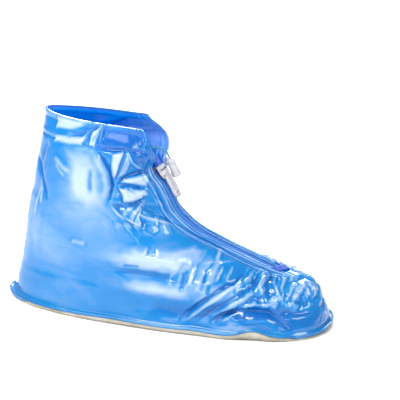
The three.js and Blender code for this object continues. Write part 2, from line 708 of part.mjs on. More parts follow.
const bell = addPiece('cord_end', makeBell(), whitePlastic);
bell.position.copy(bellTop);
bell.quaternion.setFromUnitVectors(new THREE.Vector3(0, -1, 0), bellFoot.clone().sub(bellTop).normalize());

export default cover;
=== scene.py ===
"""A rain shoe cover: a shell of glossy blue film on a beige sole sheet, with a zip over the instep.

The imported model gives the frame. Each class below holds one sub-assembly's sizes in millimetres, works out
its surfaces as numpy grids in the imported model's own axes, and dresses them. +X points to the toe, +Z is up
and -Y is the near side. Blender's own units are metres.
"""

import logging
import math
from dataclasses import dataclass, field
from enum import Enum
from typing import Mapping, Optional, Sequence, Union

import bmesh
import bpy
import numpy as np
from mathutils import Matrix

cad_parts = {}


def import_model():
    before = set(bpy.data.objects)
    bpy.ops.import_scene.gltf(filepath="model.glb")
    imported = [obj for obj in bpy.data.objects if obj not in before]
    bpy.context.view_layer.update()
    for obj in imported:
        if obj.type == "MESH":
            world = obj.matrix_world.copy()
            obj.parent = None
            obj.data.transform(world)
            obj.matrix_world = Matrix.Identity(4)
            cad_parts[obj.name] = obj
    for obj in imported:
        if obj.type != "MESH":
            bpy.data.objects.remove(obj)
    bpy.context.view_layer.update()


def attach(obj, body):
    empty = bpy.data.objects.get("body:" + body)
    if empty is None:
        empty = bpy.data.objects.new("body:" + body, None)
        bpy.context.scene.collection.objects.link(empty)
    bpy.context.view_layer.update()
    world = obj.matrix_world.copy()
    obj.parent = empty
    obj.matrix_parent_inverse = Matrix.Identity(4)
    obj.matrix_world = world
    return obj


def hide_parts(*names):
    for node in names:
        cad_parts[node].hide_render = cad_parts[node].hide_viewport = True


MM = 0.001
NEAR, FAR = -1, 1
SLIDER_LENGTH = 13.0
OUTLINE_STEPS = 180
Object = bpy.types.Object
Material = bpy.types.Material
LOG = logging.getLogger("shoe_cover")


# Small sums used all over


def smooth(t: np.ndarray) -> np.ndarray:
    """A step from 0 to 1 with level ends: three t squared less two t cubed, for t held between 0 and 1."""
    t = np.clip(t, 0.0, 1.0)
    return t * t * (3.0 - 2.0 * t)


def mix(a: np.ndarray, b: np.ndarray, t: np.ndarray) -> np.ndarray:
    """The value that lies the share t of the way from a to b."""
    return a + (b - a) * t


def hill(t: np.ndarray) -> np.ndarray:
    """A rounded hill, 1 at t = 0: e to the power of less t squared."""
    return np.exp(-(t**2))


def unit(vectors: np.ndarray) -> np.ndarray:
    """The vectors of the last axis, each made 1 long."""
    length = np.linalg.norm(vectors, axis=-1, keepdims=True)
    return vectors / np.maximum(length, 1e-12)


def run_along(line: np.ndarray) -> np.ndarray:
    """How far along a line each of its points lies: the lengths of the steps, added up."""
    return np.concatenate([[0.0], np.cumsum(np.linalg.norm(np.diff(line, axis=0), axis=1))])


def linear(colour: str) -> tuple[float, float, float, float]:
    """An sRGB hex colour as linear red, green and blue with full alpha.

    Args:
        colour: Six hex digits after a hash.

    Returns:
        Linear red, green, blue and 1.
    """
    parts = [int(colour[k : k + 2], 16) / 255.0 for k in (1, 3, 5)]
    turned = [c / 12.92 if c <= 0.04045 else ((c + 0.055) / 1.055) ** 2.4 for c in parts]
    return (turned[0], turned[1], turned[2], 1.0)


# Surfaces as grids


@dataclass
class Surface:
    """Points in millimetres with their four-sided faces.

    Attributes:
        points: N rows of x, y, z.
        quads: Four point numbers a face, anticlockwise from outside.
        sheet: Where each point lies on the flat sheet, in millimetres, for patterns that follow it.
        values: Named numbers, one a point.
    """

    points: np.ndarray
    quads: np.ndarray
    sheet: Optional[np.ndarray] = None
    values: dict[str, np.ndarray] = field(default_factory=dict)

    @staticmethod
    def grid(
        points: np.ndarray,
        ring: bool = False,
        keep: Optional[np.ndarray] = None,
        sheet: Optional[np.ndarray] = None,
        values: Optional[dict[str, np.ndarray]] = None,
    ) -> "Surface":
        """A surface from rows and columns of points.

        Cell i, j has the corners (i, j), (i, j + 1), (i + 1, j + 1) and (i + 1, j).

        Args:
            points: Rows by columns by 3.
            ring: True if the last column joins the first.
            keep: Rows less 1 by cells, False where a cell is left out.
            sheet: Rows by columns by 2.
            values: Named arrays of rows by columns.

        Returns:
            The surface, without the points that no face uses.
        """
        rows, columns = points.shape[:2]
        i, j = np.mgrid[0 : rows - 1, 0 : columns if ring else columns - 1]
        k = (j + 1) % columns
        quads = np.stack([i * columns + j, i * columns + k, (i + 1) * columns + k, (i + 1) * columns + j], -1)
        quads = quads[keep] if keep is not None else quads.reshape(-1, 4)
        used, index = np.unique(quads, return_inverse=True)
        return Surface(
            points.reshape(-1, 3)[used],
            index.reshape(-1, 4),
            None if sheet is None else sheet.reshape(-1, 2)[used],
            {name: value.reshape(-1)[used] for name, value in (values or {}).items()},
        )

    @staticmethod
    def tube(rings: np.ndarray, sheet: Optional[np.ndarray] = None) -> "Surface":
        """A closed solid from rings of points, each end drawn together to its middle.

        Args:
            rings: Rings by points by 3, each ring anticlockwise when it is seen from the last one.
            sheet: Rings by points by 2.

        Returns:
            The surface.
        """
        ends = [np.repeat(rings[k].mean(0, keepdims=True), rings.shape[1], 0)[None] for k in (0, -1)]
        flat = None if sheet is None else np.concatenate([sheet[:1], sheet, sheet[-1:]])
        return Surface.grid(np.concatenate([ends[0], rings, ends[1]]), ring=True, sheet=flat)

    @staticmethod
    def joined(parts: Sequence["Surface"]) -> "Surface":
        """Several surfaces as one, with no points shared."""
        starts = np.cumsum([0] + [len(part.points) for part in parts[:-1]])
        has_sheet = all(part.sheet is not None for part in parts)
        return Surface(
            np.concatenate([part.points for part in parts]),
            np.concatenate([part.quads + start for part, start in zip(parts, starts)]),
            np.concatenate([part.sheet for part in parts]) if has_sheet else None,
        )


def add_piece(
    name: str,
    surface: Surface,
    finish: Material,
    body: str = "cover",
    replaces: Sequence[str] = (),
    close: bool = True,
) -> Object:
    """Makes a Blender object from a surface, at the origin, and gives it to the frame.

    Args:
        name: The piece's plain name.
        surface: Its points and faces, in millimetres.
        finish: Its material.
        body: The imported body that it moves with.
        replaces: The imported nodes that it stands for.
        close: True if points that coincide are merged and the faces are turned outwards.

    Returns:
        The new object.
    """
    mesh = bpy.data.meshes.new(name)
    mesh.from_pydata((surface.points * MM).tolist(), [], surface.quads.tolist())
    corner = np.empty(len(mesh.loops), dtype=np.int64)
    mesh.loops.foreach_get("vertex_index", corner)
    if surface.sheet is not None:
        layer = mesh.uv_layers.new(name="sheet")
        layer.data.foreach_set("uv", surface.sheet[corner].astype(np.float32).ravel())
    for key, value in surface.values.items():
        attribute = mesh.attributes.new(key, "FLOAT", "POINT")
        attribute.data.foreach_set("value", value.astype(np.float32))
    if close:
        work = bmesh.new()
        work.from_mesh(mesh)
        bmesh.ops.remove_doubles(work, verts=work.verts, dist=1e-6)
        bmesh.ops.dissolve_degenerate(work, edges=work.edges, dist=1e-7)
        bmesh.ops.recalc_face_normals(work, faces=work.faces)
        work.to_mesh(mesh)
        work.free()
    mesh.polygons.foreach_set("use_smooth", np.ones(len(mesh.polygons), dtype=bool))
    mesh.materials.append(finish)
    mesh.update()
    piece = bpy.data.objects.new(name, mesh)
    bpy.context.scene.collection.objects.link(piece)
    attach(piece, body)
    if replaces:
        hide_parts(*replaces)
    LOG.info("%s: %d points, %d faces", name, len(mesh.vertices), len(mesh.polygons))
    return piece


def sharpen(piece: Object, degrees: float = 40.0) -> None:
    """Marks the edges that turn by more than the angle as sharp, so that they shade as edges."""
    piece.data.set_sharp_from_angle(angle=math.radians(degrees))


# Finishes


Tree = bpy.types.NodeTree
Socket = bpy.types.NodeSocket
Value = Union[float, Sequence[float], Socket]


def add_node(
    tree: Tree,
    kind: str,
    inputs: Optional[Mapping[Union[str, int], Value]] = None,
    settings: Optional[Mapping[str, object]] = None,
) -> bpy.types.Node:
    """Adds a shader node with its settings and its links.

    Args:
        tree: The material's node tree.
        kind: The node's type, such as ShaderNodeTexNoise.
        inputs: A number, a colour or another node's output for each input, by name or place.
        settings: The node's own properties.

    Returns:
        The node.
    """
    made = tree.nodes.new(kind)
    for key, value in (settings or {}).items():
        setattr(made, key, value)
    for key, value in (inputs or {}).items():
        if isinstance(value, Socket):
            tree.links.new(value, made.inputs[key])
        else:
            made.inputs[key].default_value = value
    return made


def per_metre(size_mm: float) -> float:
    """A pattern's scale for a repeat of size_mm, on coordinates in metres."""
    return 1.0 / (size_mm * MM)


@dataclass(frozen=True)
class Finish:
    """What every finish has: its name, colour and gloss. The kinds below add the surface's detail.

    Attributes:
        name: The real material and how its surface was made.
        colour: Its main colour, sRGB hex.
        roughness: The shader's roughness.
        ior: The shader's index of refraction.
        passed: The share of the light that passes through the wall, scattered.
        light: The colour of that light, sRGB hex.
    """

    name: str
    colour: str
    roughness: float
    ior: float = 1.5
    passed: float = 0.0
    light: str = "#FFFFFF"

    def shade(self, tree: Tree, place: Socket) -> Mapping[str, Value]:
        """The shader's inputs, beyond the plain ones, that this finish works out with nodes."""
        return {}

    def material(self) -> Material:
        """Builds the material.

        Returns:
            A node material on Object coordinates.
        """
        made = bpy.data.materials.new(self.name)
        made.use_nodes = True
        tree = made.node_tree
        tree.nodes.clear()
        place = add_node(tree, "ShaderNodeTexCoord").outputs["Object"]
        inputs: dict[str, Value] = {
            "Base Color": linear(self.colour),
            "Roughness": self.roughness,
            "IOR": self.ior,
        }
        inputs.update(self.shade(tree, place))
        shader = add_node(tree, "ShaderNodeBsdfPrincipled", inputs)
        surface = shader.outputs[0]
        if self.passed > 0:
            scatter = {"Color": linear(self.light), "Normal": inputs["Normal"]}
            behind = add_node(tree, "ShaderNodeBsdfTranslucent", scatter).outputs[0]
            mixed = add_node(tree, "ShaderNodeMixShader", {0: self.passed, 1: surface, 2: behind})
            surface = mixed.outputs[0]
        add_node(tree, "ShaderNodeOutputMaterial", {"Surface": surface})
        return made


def blend_colour(tree: Tree, share: Value, first: Value, second: Value) -> Socket:
    """The colour the share of the way from first to second."""
    settings = {"data_type": "RGBA", "clamp_factor": True}
    return add_node(tree, "ShaderNodeMix", {0: share, 6: first, 7: second}, settings).outputs[2]


def noise(tree: Tree, place: Socket, size_mm: float, detail: float = 3.0, rough: float = 0.5) -> Socket:
    """Cloudy noise with blots of about size_mm."""
    inputs = {"Vector": place, "Scale": per_metre(size_mm), "Detail": detail, "Roughness": rough}
    return add_node(tree, "ShaderNodeTexNoise", inputs).outputs[0]


def stretch_to(tree: Tree, value: Socket, low: float, high: float, to_low: float, to_high: float) -> Socket:
    """The value, stretched from low..high to to_low..to_high and held there."""
    inputs = {0: value, 1: low, 2: high, 3: to_low, 4: to_high}
    return add_node(tree, "ShaderNodeMapRange", inputs).outputs[0]


def relief(tree: Tree, height: Socket, depth_mm: float, strength: float = 1.0) -> Socket:
    """A bump of depth_mm from a height between 0 and 1."""
    inputs = {"Height": height, "Distance": depth_mm * MM, "Strength": strength}
    return add_node(tree, "ShaderNodeBump", inputs).outputs[0]


@dataclass(frozen=True)
class CalenderedFilm(Finish):
    """Soft PVC film, rolled thin between polished cylinders: a wet, bright gloss over a see-through tint.

    It is paler where it lies on something light and deeper where it stands off or is doubled; beyond that,
    shade is painted deep in its creases and hollows and highlights are painted pale on its ridges, bulges and
    facets. A value on the mesh, paleness_and_painted_light, runs from the deep colour to the pale one. Fine
    ripples of a few millimetres break up the reflections.
    """

    deep_and_shade: str = "#006EC0"
    pale_and_highlight: str = "#CFE6F8"
    light: str = "#18A2F0"
    passed: float = 0.36
    ripple_mm: float = 9.0
    ripple_depth_mm: float = 0.08

    def shade(self, tree: Tree, place: Socket) -> Mapping[str, Value]:
        """Deep to pale by the mesh's painted light and paleness, so painted shade and painted highlights,
        with faint clouds, and a rippled gloss.
        """
        paleness_and_painted_light = add_node(tree, "ShaderNodeAttribute", settings={"attribute_name": "paleness_and_painted_light"}).outputs["Fac"]
        clouds = noise(tree, place, 22.0, 3.0, 0.55)
        long_way = add_node(tree, "ShaderNodeMapping", {"Vector": place, "Scale": (0.3, 0.6, 1.0)}).outputs[0]
        streaks = noise(tree, long_way, 7.0, 4.0, 0.6)
        both = add_node(tree, "ShaderNodeMath", {0: clouds, 1: streaks}, {"operation": "ADD"}).outputs[0]
        shifted = add_node(
            tree, "ShaderNodeMath", {0: both, 1: 0.24, 2: paleness_and_painted_light}, {"operation": "MULTIPLY_ADD"}
        ).outputs[0]
        dark = stretch_to(tree, shifted, 0.05, 0.62, 0.0, 1.0)
        bright = stretch_to(tree, shifted, 0.62, 1.42, 0.0, 1.0)
        body = blend_colour(tree, dark, linear(self.deep_and_shade), linear(self.colour))
        body = blend_colour(tree, bright, body, linear(self.pale_and_highlight))
        ripples = noise(tree, place, self.ripple_mm, 2.0, 0.4)
        smear = stretch_to(tree, noise(tree, place, 14.0, 4.0, 0.6), 0.3, 0.7, 0.12, 0.26)
        return {
            "Base Color": body,
            "Roughness": smear,
            "Normal": relief(tree, ripples, self.ripple_depth_mm),
            "Coat Weight": 0.8,
            "Coat Roughness": 0.09,
            "Coat IOR": 1.55,
        }


@dataclass(frozen=True)
class SoleSheet(Finish):
    """Calendered anti-slip PVC with a fine stippled skin: matt, with scuffs that lighten it."""

    scuff: str = "#BFBAAC"
    soil: str = "#746F5C"

    def shade(self, tree: Tree, place: Socket) -> Mapping[str, Value]:
        """A stipple of 0.9 mm, drawn coarser than the real 0.5 mm so that it shows, with cloudy scuffs."""
        blots = stretch_to(tree, noise(tree, place, 18.0, 4.0, 0.6), 0.35, 0.7, 0.0, 1.0)
        worn = blend_colour(tree, blots, linear(self.colour), linear(self.scuff))
        dirt = stretch_to(tree, noise(tree, place, 5.0, 5.0, 0.7), 0.55, 0.8, 0.0, 0.55)
        body = blend_colour(tree, dirt, worn, linear(self.soil))
        cells = add_node(
            tree, "ShaderNodeTexVoronoi", {"Vector": place, "Scale": per_metre(0.9)}, {"feature": "F1"}
        ).outputs[0]
        return {"Base Color": body, "Normal": relief(tree, cells, 0.12, 0.8)}


@dataclass(frozen=True)
class WovenTape(Finish):
    """Polyester tape, woven narrow and coated: a close matt cloth whose threads show as fine ribs."""

    thread_mm: float = 0.7
    dark: str = "#0C5CB8"

    def shade(self, tree: Tree, place: Socket) -> Mapping[str, Value]:
        """Warp and weft as two crossed waves on the tape's own sheet, 0.7 mm apart; the real ones are 0.4."""
        sheet = add_node(tree, "ShaderNodeUVMap", settings={"uv_map": "sheet"}).outputs[0]
        turned = add_node(tree, "ShaderNodeMapping", {"Vector": sheet, "Rotation": (0.0, 0.0, math.pi / 4)})
        scale = 1.0 / self.thread_mm
        inputs = {"Vector": turned.outputs[0], "Scale": scale * 0.32, "Distortion": 0.3}
        warp, weft = (
            add_node(tree, "ShaderNodeTexWave", inputs, {"bands_direction": way}).outputs[1] for way in "XY"
        )
        cloth = add_node(tree, "ShaderNodeMath", {0: warp, 1: weft}, {"operation": "MULTIPLY"}).outputs[0]
        # the colour goes to the dark one between the threads, where the relief is low: painted shade in the
        # weave
        body = blend_colour(tree, cloth, linear(self.dark), linear(self.colour))
        return {"Base Color": body, "Normal": relief(tree, cloth, 0.15, 0.7), "Sheen Weight": 0.25}


@dataclass(frozen=True)
class DrawnPlastic(Finish):
    """Plastic drawn to a wire, moulded or welded flat: an even satin with faint flow marks."""

    shade_colour: str = "#203C8C"
    mark_mm: float = 3.0
    depth_mm: float = 0.03

    def shade(self, tree: Tree, place: Socket) -> Mapping[str, Value]:
        """Cloudy flow marks that change the colour and the gloss a little."""
        marks = noise(tree, place, self.mark_mm, 4.0, 0.6)
        share = stretch_to(tree, marks, 0.35, 0.75, 0.0, 0.6)
        body = blend_colour(tree, share, linear(self.colour), linear(self.shade_colour))
        gloss = stretch_to(tree, marks, 0.3, 0.7, self.roughness - 0.08, self.roughness + 0.1)
        return {"Base Color": body, "Roughness": gloss, "Normal": relief(tree, marks, self.depth_mm)}


@dataclass(frozen=True)
class DullBronze(Finish):
    """Pressed bronze wire, tumbled and left bare: a brown metal with brighter worn places."""

    worn: str = "#B58A66"

    def shade(self, tree: Tree, place: Socket) -> Mapping[str, Value]:
        """Worn and dark places of under a millimetre."""
        places = stretch_to(tree, noise(tree, place, 0.9, 4.0, 0.6), 0.4, 0.65, 0.0, 1.0)
        body = blend_colour(tree, places, linear(self.colour), linear(self.worn))
        return {"Base Color": body, "Metallic": 1.0, "Normal": relief(tree, places, 0.05)}


@dataclass(frozen=True)
class BraidedYarn(Finish):
    """Polyester yarn, braided round: soft, with a light sheen on each strand's back."""

    light: str = "#1C8699"

    def shade(self, tree: Tree, place: Socket) -> Mapping[str, Value]:
        """Strands from the mesh's own value, and filaments of about 0.3 mm."""
        strand = add_node(tree, "ShaderNodeAttribute", settings={"attribute_name": "strand"}).outputs["Fac"]
        # each strand's back is painted the lighter colour: a painted sheen
        body = blend_colour(tree, strand, linear(self.colour), linear(self.light))
        fibre = noise(tree, place, 0.3, 3.0, 0.6)
        return {"Base Color": body, "Normal": relief(tree, fibre, 0.05), "Sheen Weight": 0.4}


@dataclass(frozen=True)
class Palette:
    """The cover's materials."""

    film: Material
    sole: Material
    tape: Material
    coil: Material
    patch: Material
    gusset: Material
    stop: Material
    cord: Material
    white_plastic: Material

    @staticmethod
    def build() -> "Palette":
        """Builds every material once."""
        patch = DrawnPlastic(
            "pvc_patch_welded", "#0649AA", 0.5, 1.25, shade_colour="#053A8C", mark_mm=2.0, depth_mm=0.08
        )
        gusset = CalenderedFilm(
            "pvc_film_thin", "#0A96F0", 0.2, deep_and_shade="#0482DC", pale_and_highlight="#34ACF6", light="#14A4FF", passed=0.5
        )
        clear = DrawnPlastic(
            "acetal_moulded_clear", "#CFCDD0", 0.34, 1.48, shade_colour="#A7A8B4", mark_mm=5.0, passed=0.22
        )
        return Palette(
            film=CalenderedFilm("pvc_film_calendered", "#0A94DA", 0.2).material(),
            sole=SoleSheet("pvc_sheet_stippled", "#98917F", 0.62).material(),
            tape=WovenTape("polyester_tape_woven", "#3C9CE2", 0.5).material(),
            coil=DrawnPlastic("polyester_wire_drawn", "#579CDE", 0.36).material(),
            patch=patch.material(),
            gusset=gusset.material(),
            stop=DullBronze("bronze_wire_pressed", "#6E4C39", 0.42).material(),
            cord=BraidedYarn("polyester_yarn_braided", "#0A5F70", 0.85).material(),
            white_plastic=clear.material(),
        )


# The cover's plain form


@dataclass(frozen=True)
class Section:
    """One level outline of the shell.

    up is a share of the cover's height, heel, front and wide are shares of half the sole's length along X,
    and near and far are shares of half its width. The powers are the outline's roundness: 2 is an ellipse,
    more is fuller, and a crest near 1 gives the ridge that the zip lies on.
    """

    up: float
    heel: float
    front: float
    near: float
    far: float
    wide: float
    heel_power: float
    front_power: float
    crest_power: float


SECTIONS = (
    Section(0.020, -0.953, 0.951, 0.868, 0.868, 0.20, 2.2, 3.0, 2.3),
    Section(0.092, -0.945, 0.951, 0.887, 0.887, 0.20, 2.2, 2.8, 2.2),
    Section(0.149, -0.930, 0.940, 0.887, 0.887, 0.19, 2.1, 2.4, 2.0),
    Section(0.201, -0.915, 0.921, 0.870, 0.870, 0.17, 2.0, 2.0, 1.7),
    Section(0.247, -0.906, 0.850, 0.845, 0.845, 0.12, 2.0, 1.6, 1.4),
    Section(0.284, -0.896, 0.685, 0.822, 0.822, 0.06, 2.0, 1.4, 1.25),
    Section(0.316, -0.887, 0.580, 0.806, 0.806, 0.02, 2.0, 1.4, 1.2),
    Section(0.379, -0.875, 0.385, 0.779, 0.779, -0.04, 2.0, 1.4, 1.12),
    Section(0.431, -0.865, 0.236, 0.760, 0.760, -0.10, 2.0, 1.4, 1.12),
    Section(0.483, -0.855, 0.146, 0.751, 0.747, -0.17, 2.0, 1.5, 1.15),
    Section(0.540, -0.844, 0.080, 0.742, 0.732, -0.24, 2.0, 1.6, 1.2),
    Section(0.598, -0.822, 0.046, 0.734, 0.709, -0.30, 1.95, 1.7, 1.3),
    Section(0.655, -0.812, 0.010, 0.723, 0.675, -0.34, 1.95, 1.8, 1.4),
    Section(0.713, -0.800, -0.042, 0.704, 0.630, -0.37, 1.9, 1.9, 1.55),
    Section(0.764, -0.785, -0.065, 0.683, 0.577, -0.38, 1.9, 2.1, 1.75),
    Section(0.851, -0.763, -0.034, 0.642, 0.472, -0.38, 1.85, 2.3, 1.9),
    Section(0.925, -0.749, -0.044, 0.570, 0.348, -0.38, 1.8, 2.5, 2.0),
    Section(1.000, -0.727, -0.065, 0.470, 0.220, -0.38, 1.8, 2.6, 2.0),
)


@dataclass(frozen=True)
class FlangeWave:
    """A place where the flange lifts off the floor: its side, middle, half width and lift in millimetres."""

    side: int
    at: float
    half: float
    lift: float


@dataclass
class CoverForm:
    """The plain form of the cover, without folds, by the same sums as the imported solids.

    A place on it is s, the arc length from the ridge over the toe and the instep, below zero on the near
    side, and z, the height before the cuff's edge tilts.
    """

    sole_length: float = 293.0
    sole_width: float = 106.0
    height: float = 174.0
    sole_thickness: float = 2.0
    film_thickness: float = 1.2
    gap: float = 0.3
    flange_width: float = 7.0
    cuff_drop_near: float = 12.0
    cuff_drop_far: float = 3.0
    cuff_start: float = 0.6
    zip_end: float = 48.5
    zip_top_share: float = 0.764
    slider_share: float = 0.71
    slot_low: float = 7.0
    slot_high: float = 16.0
    fillet: float = 1.6
    root_share: float = 0.8
    toe_curl: float = 2.2
    heel_curl: float = 1.6
    turned_in: float = 2.4
    rim_depth: float = 0.5
    toe_spread: float = 5.4
    side_spread: float = 4.4
    spread_height: float = 20.0
    waves: tuple[FlangeWave, ...] = (
        FlangeWave(NEAR, 0.0, 95.0, 1.5),
        FlangeWave(NEAR, 89.0, 13.0, 6.4),
        FlangeWave(NEAR, 40.0, 14.0, 1.2),
        FlangeWave(NEAR, -34.0, 26.0, 1.2),
        FlangeWave(FAR, 44.0, 24.0, 1.8),
        FlangeWave(FAR, -58.0, 26.0, 1.1),
    )

    @property
    def half_length(self) -> float:
        """Half of the sole's length."""
        return self.sole_length / 2

    @property
    def flange_top(self) -> float:
        """The height of the flange's upper face."""
        return self.sole_thickness + self.gap + self.film_thickness

    @property
    def zip_top(self) -> float:
        """The height of the tapes' upper ends."""
        return self.zip_top_share * self.height

    @property
    def slider_height(self) -> float:
        """The height of the slider's place on the ridge."""
        return self.slider_share * self.height

    def section(self, name: str, up: np.ndarray) -> np.ndarray:
        """One column of the sections at the shares up, on a cubic through the rows without overshoot.

        The slope at an inner row is the harmonic mean of the two chords beside it, or 0 where they turn.

        Args:
            name: The column.
            up: Shares of the height.

        Returns:
            The column's values there.
        """
        x = np.array([row.up for row in SECTIONS])
        y = np.array([getattr(row, name) for row in SECTIONS])
        chord = np.diff(y) / np.diff(x)
        before, after = chord[:-1], chord[1:]
        turns = before * after <= 0
        inner = np.where(turns, 0.0, 2 * before * after / np.where(turns, 1.0, before + after))
        slope = np.concatenate([chord[:1], inner, chord[-1:]])
        k = np.clip(np.searchsorted(x, up) - 1, 0, len(x) - 2)
        span = x[k + 1] - x[k]
        t = (up - x[k]) / span
        return (
            y[k] * (1 + 2 * t) * (1 - t) ** 2
            + slope[k] * span * t * (1 - t) ** 2
            + y[k + 1] * t * t * (3 - 2 * t)
            + slope[k + 1] * span * t * t * (t - 1)
        )

    def outline(self, side: int, z: np.ndarray) -> tuple[np.ndarray, np.ndarray, np.ndarray]:
        """One side of the level outlines at the heights z, from the front round to the heel.

        Ahead of the widest place, x is the reach times cos to the power of 2 / front_power and y the half
        width times sin to the power of 2 / crest_power. Behind it both take 2 / heel_power.

        Args:
            side: NEAR or FAR.
            z: Heights, R of them.

        Returns:
            x, y and the running length, each R by OUTLINE_STEPS + 1.
        """
        up = np.clip(z / self.height, SECTIONS[0].up, 1.0)[:, None]
        column = {name: self.section(name, up) for name in ("heel", "front", "wide", "heel_power")}
        heel, front, wide = (column[name] * self.half_length for name in ("heel", "front", "wide"))
        across = self.section("near" if side < 0 else "far", up) * self.sole_width / 2
        angle = np.linspace(0, np.pi, OUTLINE_STEPS + 1)[None, :]
        c, s = np.abs(np.cos(angle)), np.abs(np.sin(angle))
        ahead = angle <= np.pi / 2
        around = 2 / column["heel_power"]
        x = np.where(
            ahead,
            wide + (front - wide) * c ** (2 / self.section("front_power", up)),
            wide - (wide - heel) * c**around,
        )
        y = side * across * np.where(ahead, s ** (2 / self.section("crest_power", up)), s**around)
        step = np.hypot(np.diff(x, axis=1), np.diff(y, axis=1))
        run = np.concatenate([np.zeros((len(x), 1)), np.cumsum(step, axis=1)], axis=1)
        return x, y, run

    def length(self, side: int, z: np.ndarray) -> np.ndarray:
        """The arc length from the ridge to the heel's middle on one side at each height."""
        return self.outline(side, z)[2][:, -1]

    def place(self, s: np.ndarray, z: np.ndarray) -> np.ndarray:
        """Points of the plain form.

        Args:
            s: Arc lengths from the ridge, R by C.
            z: Heights, R of them, one a row.

        Returns:
            Points, R by C by 3.
        """
        points = np.empty(s.shape + (3,))
        for side in (NEAR, FAR):
            xs, ys, run = self.outline(side, z)
            rows = zip(np.abs(s), run, xs, ys)
            found = np.array([(np.interp(d, r, x), np.interp(d, r, y)) for d, r, x, y in rows])
            x, y = found[:, 0], found[:, 1]
            share = np.clip((x - xs[:, -1:]) / (xs[:, :1] - xs[:, -1:]), 0, 1)
            tilt = self.cuff_drop(side, share) * smooth((z[:, None] / self.height - self.cuff_start) / 0.4)
            here = s < 0 if side < 0 else s >= 0
            made = np.stack([x, y, z[:, None] - tilt], -1)
            points[here] = made[here]
        return points

    def cuff_drop(self, side: int, share: np.ndarray) -> np.ndarray:
        """How far the cuff's edge falls at a share of the way from the heel to the front.

        The near edge falls slowly and then quickly at its front corner; the far edge falls evenly.
        """
        if side < 0:
            return self.cuff_drop_near * (0.45 * share + 0.55 * share**7)
        return self.cuff_drop_far * share

    def normal(self, s: np.ndarray, z: np.ndarray, step: float = 0.6) -> np.ndarray:
        """The outward direction of the plain form: the change along s crossed with the change along z."""
        along = self.place(s + step, z) - self.place(s - step, z)
        low = np.maximum(z - step, SECTIONS[0].up * self.height)
        high = np.minimum(z + step, self.height)
        return unit(np.cross(along, self.place(s, high) - self.place(s, low)))

    def ridge_levels(self, low: float, high: float, shares: np.ndarray) -> np.ndarray:
        """Heights between two levels, at shares of the ridge's length between them."""
        levels = np.linspace(low, high, 500)
        run = run_along(self.place(np.zeros((500, 1)), levels)[:, 0])
        return np.interp(shares * run[-1], run, levels)

    def ridge_length(self, low: float, high: float) -> float:
        """The ridge's length between two levels."""
        line = self.place(np.zeros((500, 1)), np.linspace(low, high, 500))[:, 0]
        return float(run_along(line)[-1])

    def lift(self, x: np.ndarray, s: np.ndarray) -> np.ndarray:
        """How far the waves lift the flange's edge at x, on the side that the sign of s gives."""
        side = np.where(s < 0, NEAR, FAR)
        return sum((side == wave.side) * wave.lift * hill((x - wave.at) / wave.half) for wave in self.waves)

    def spread(self, x: np.ndarray) -> np.ndarray:
        """How far the wall's foot is spread at x: a little all round, and most at the toe."""
        share = x / self.half_length
        side = self.side_spread * smooth((share + 1.0) / 0.3)
        return mix(side, self.toe_spread, smooth((share - 0.5) / 0.35))

    def flange(self, s: np.ndarray, t: np.ndarray) -> np.ndarray:
        """The flange's upper face: t runs from the wall's foot to the edge.

        It falls from the foot in a fillet, as the cube of 1 less t. It stands higher in the waves, and its
        height grows with t squared where it curls at the toe and at the heel.

        Args:
            s: Arc lengths from the ridge, R by C.
            t: Shares of the flange's width, one a row.

        Returns:
            Points, R by C by 3.
        """
        z = np.full(len(s), self.flange_top)
        root = self.place(s, z)
        out = self.normal(s, z)
        out[..., 2] = 0
        out = unit(out)
        share = root[..., 0] / self.half_length
        curl = np.where(share > 0, self.toe_curl, self.heel_curl)
        curl = curl * smooth((np.abs(share) - 0.62) / 0.34)
        lift = self.lift(root[..., 0], s)
        reach = mix(self.film_thickness + self.spread(root[..., 0]), self.flange_width, t[:, None])
        made = root + out * reach[..., None]
        fillet = self.fillet * (1 - t[:, None]) ** 3
        lift = lift * mix(self.root_share, 1.0, t[:, None])
        made[..., 2] = self.flange_top + fillet + lift + curl * t[:, None] ** 2
        return made

    def skirt(self, s: np.ndarray, t: np.ndarray) -> np.ndarray:
        """The flange's turned edge, from its upper rim at t = 0 down to its lower rim at t = 1.

        Along the sides it is as deep as the rim. At the toe and at the heel it turns down and in
        over the sole's edge, nearly to the floor.

        Args:
            s: Arc lengths from the ridge, R by C.
            t: Shares of the way down, one a row.

        Returns:
            Points, R by C by 3.
        """
        made = self.flange(s, np.ones(len(s)))
        share = np.abs(made[..., 0]) / self.half_length
        wrap = smooth((share - 0.80) / 0.10)
        low = mix(made[..., 2] - self.rim_depth, self.rim_depth, wrap)
        inward = self.turned_in * wrap * (t**2)[:, None]
        made[..., 0] -= np.sign(made[..., 0]) * inward
        made[..., 2] = mix(made[..., 2], low, t[:, None])
        return made

    def slot_half(self, z: np.ndarray) -> np.ndarray:
        """Half the width of the cut that the zip lies in, wider from the zip's top to the cuff's edge."""
        above = np.clip((z - self.zip_top) / (self.height - self.zip_top), 0, 1)
        return mix(self.slot_low, self.slot_high, above**1.2)


# The film


class Crest(Enum):
    """The cross-section of a fold."""

    ROUND = "a rounded hill"
    SHARP = "a crease"


class Fade(Enum):
    """How a fold's height runs from its first end to its second."""

    EVEN = "the same all along"
    BOTH = "nothing at both ends"
    END = "full at the first end and nothing at the second"


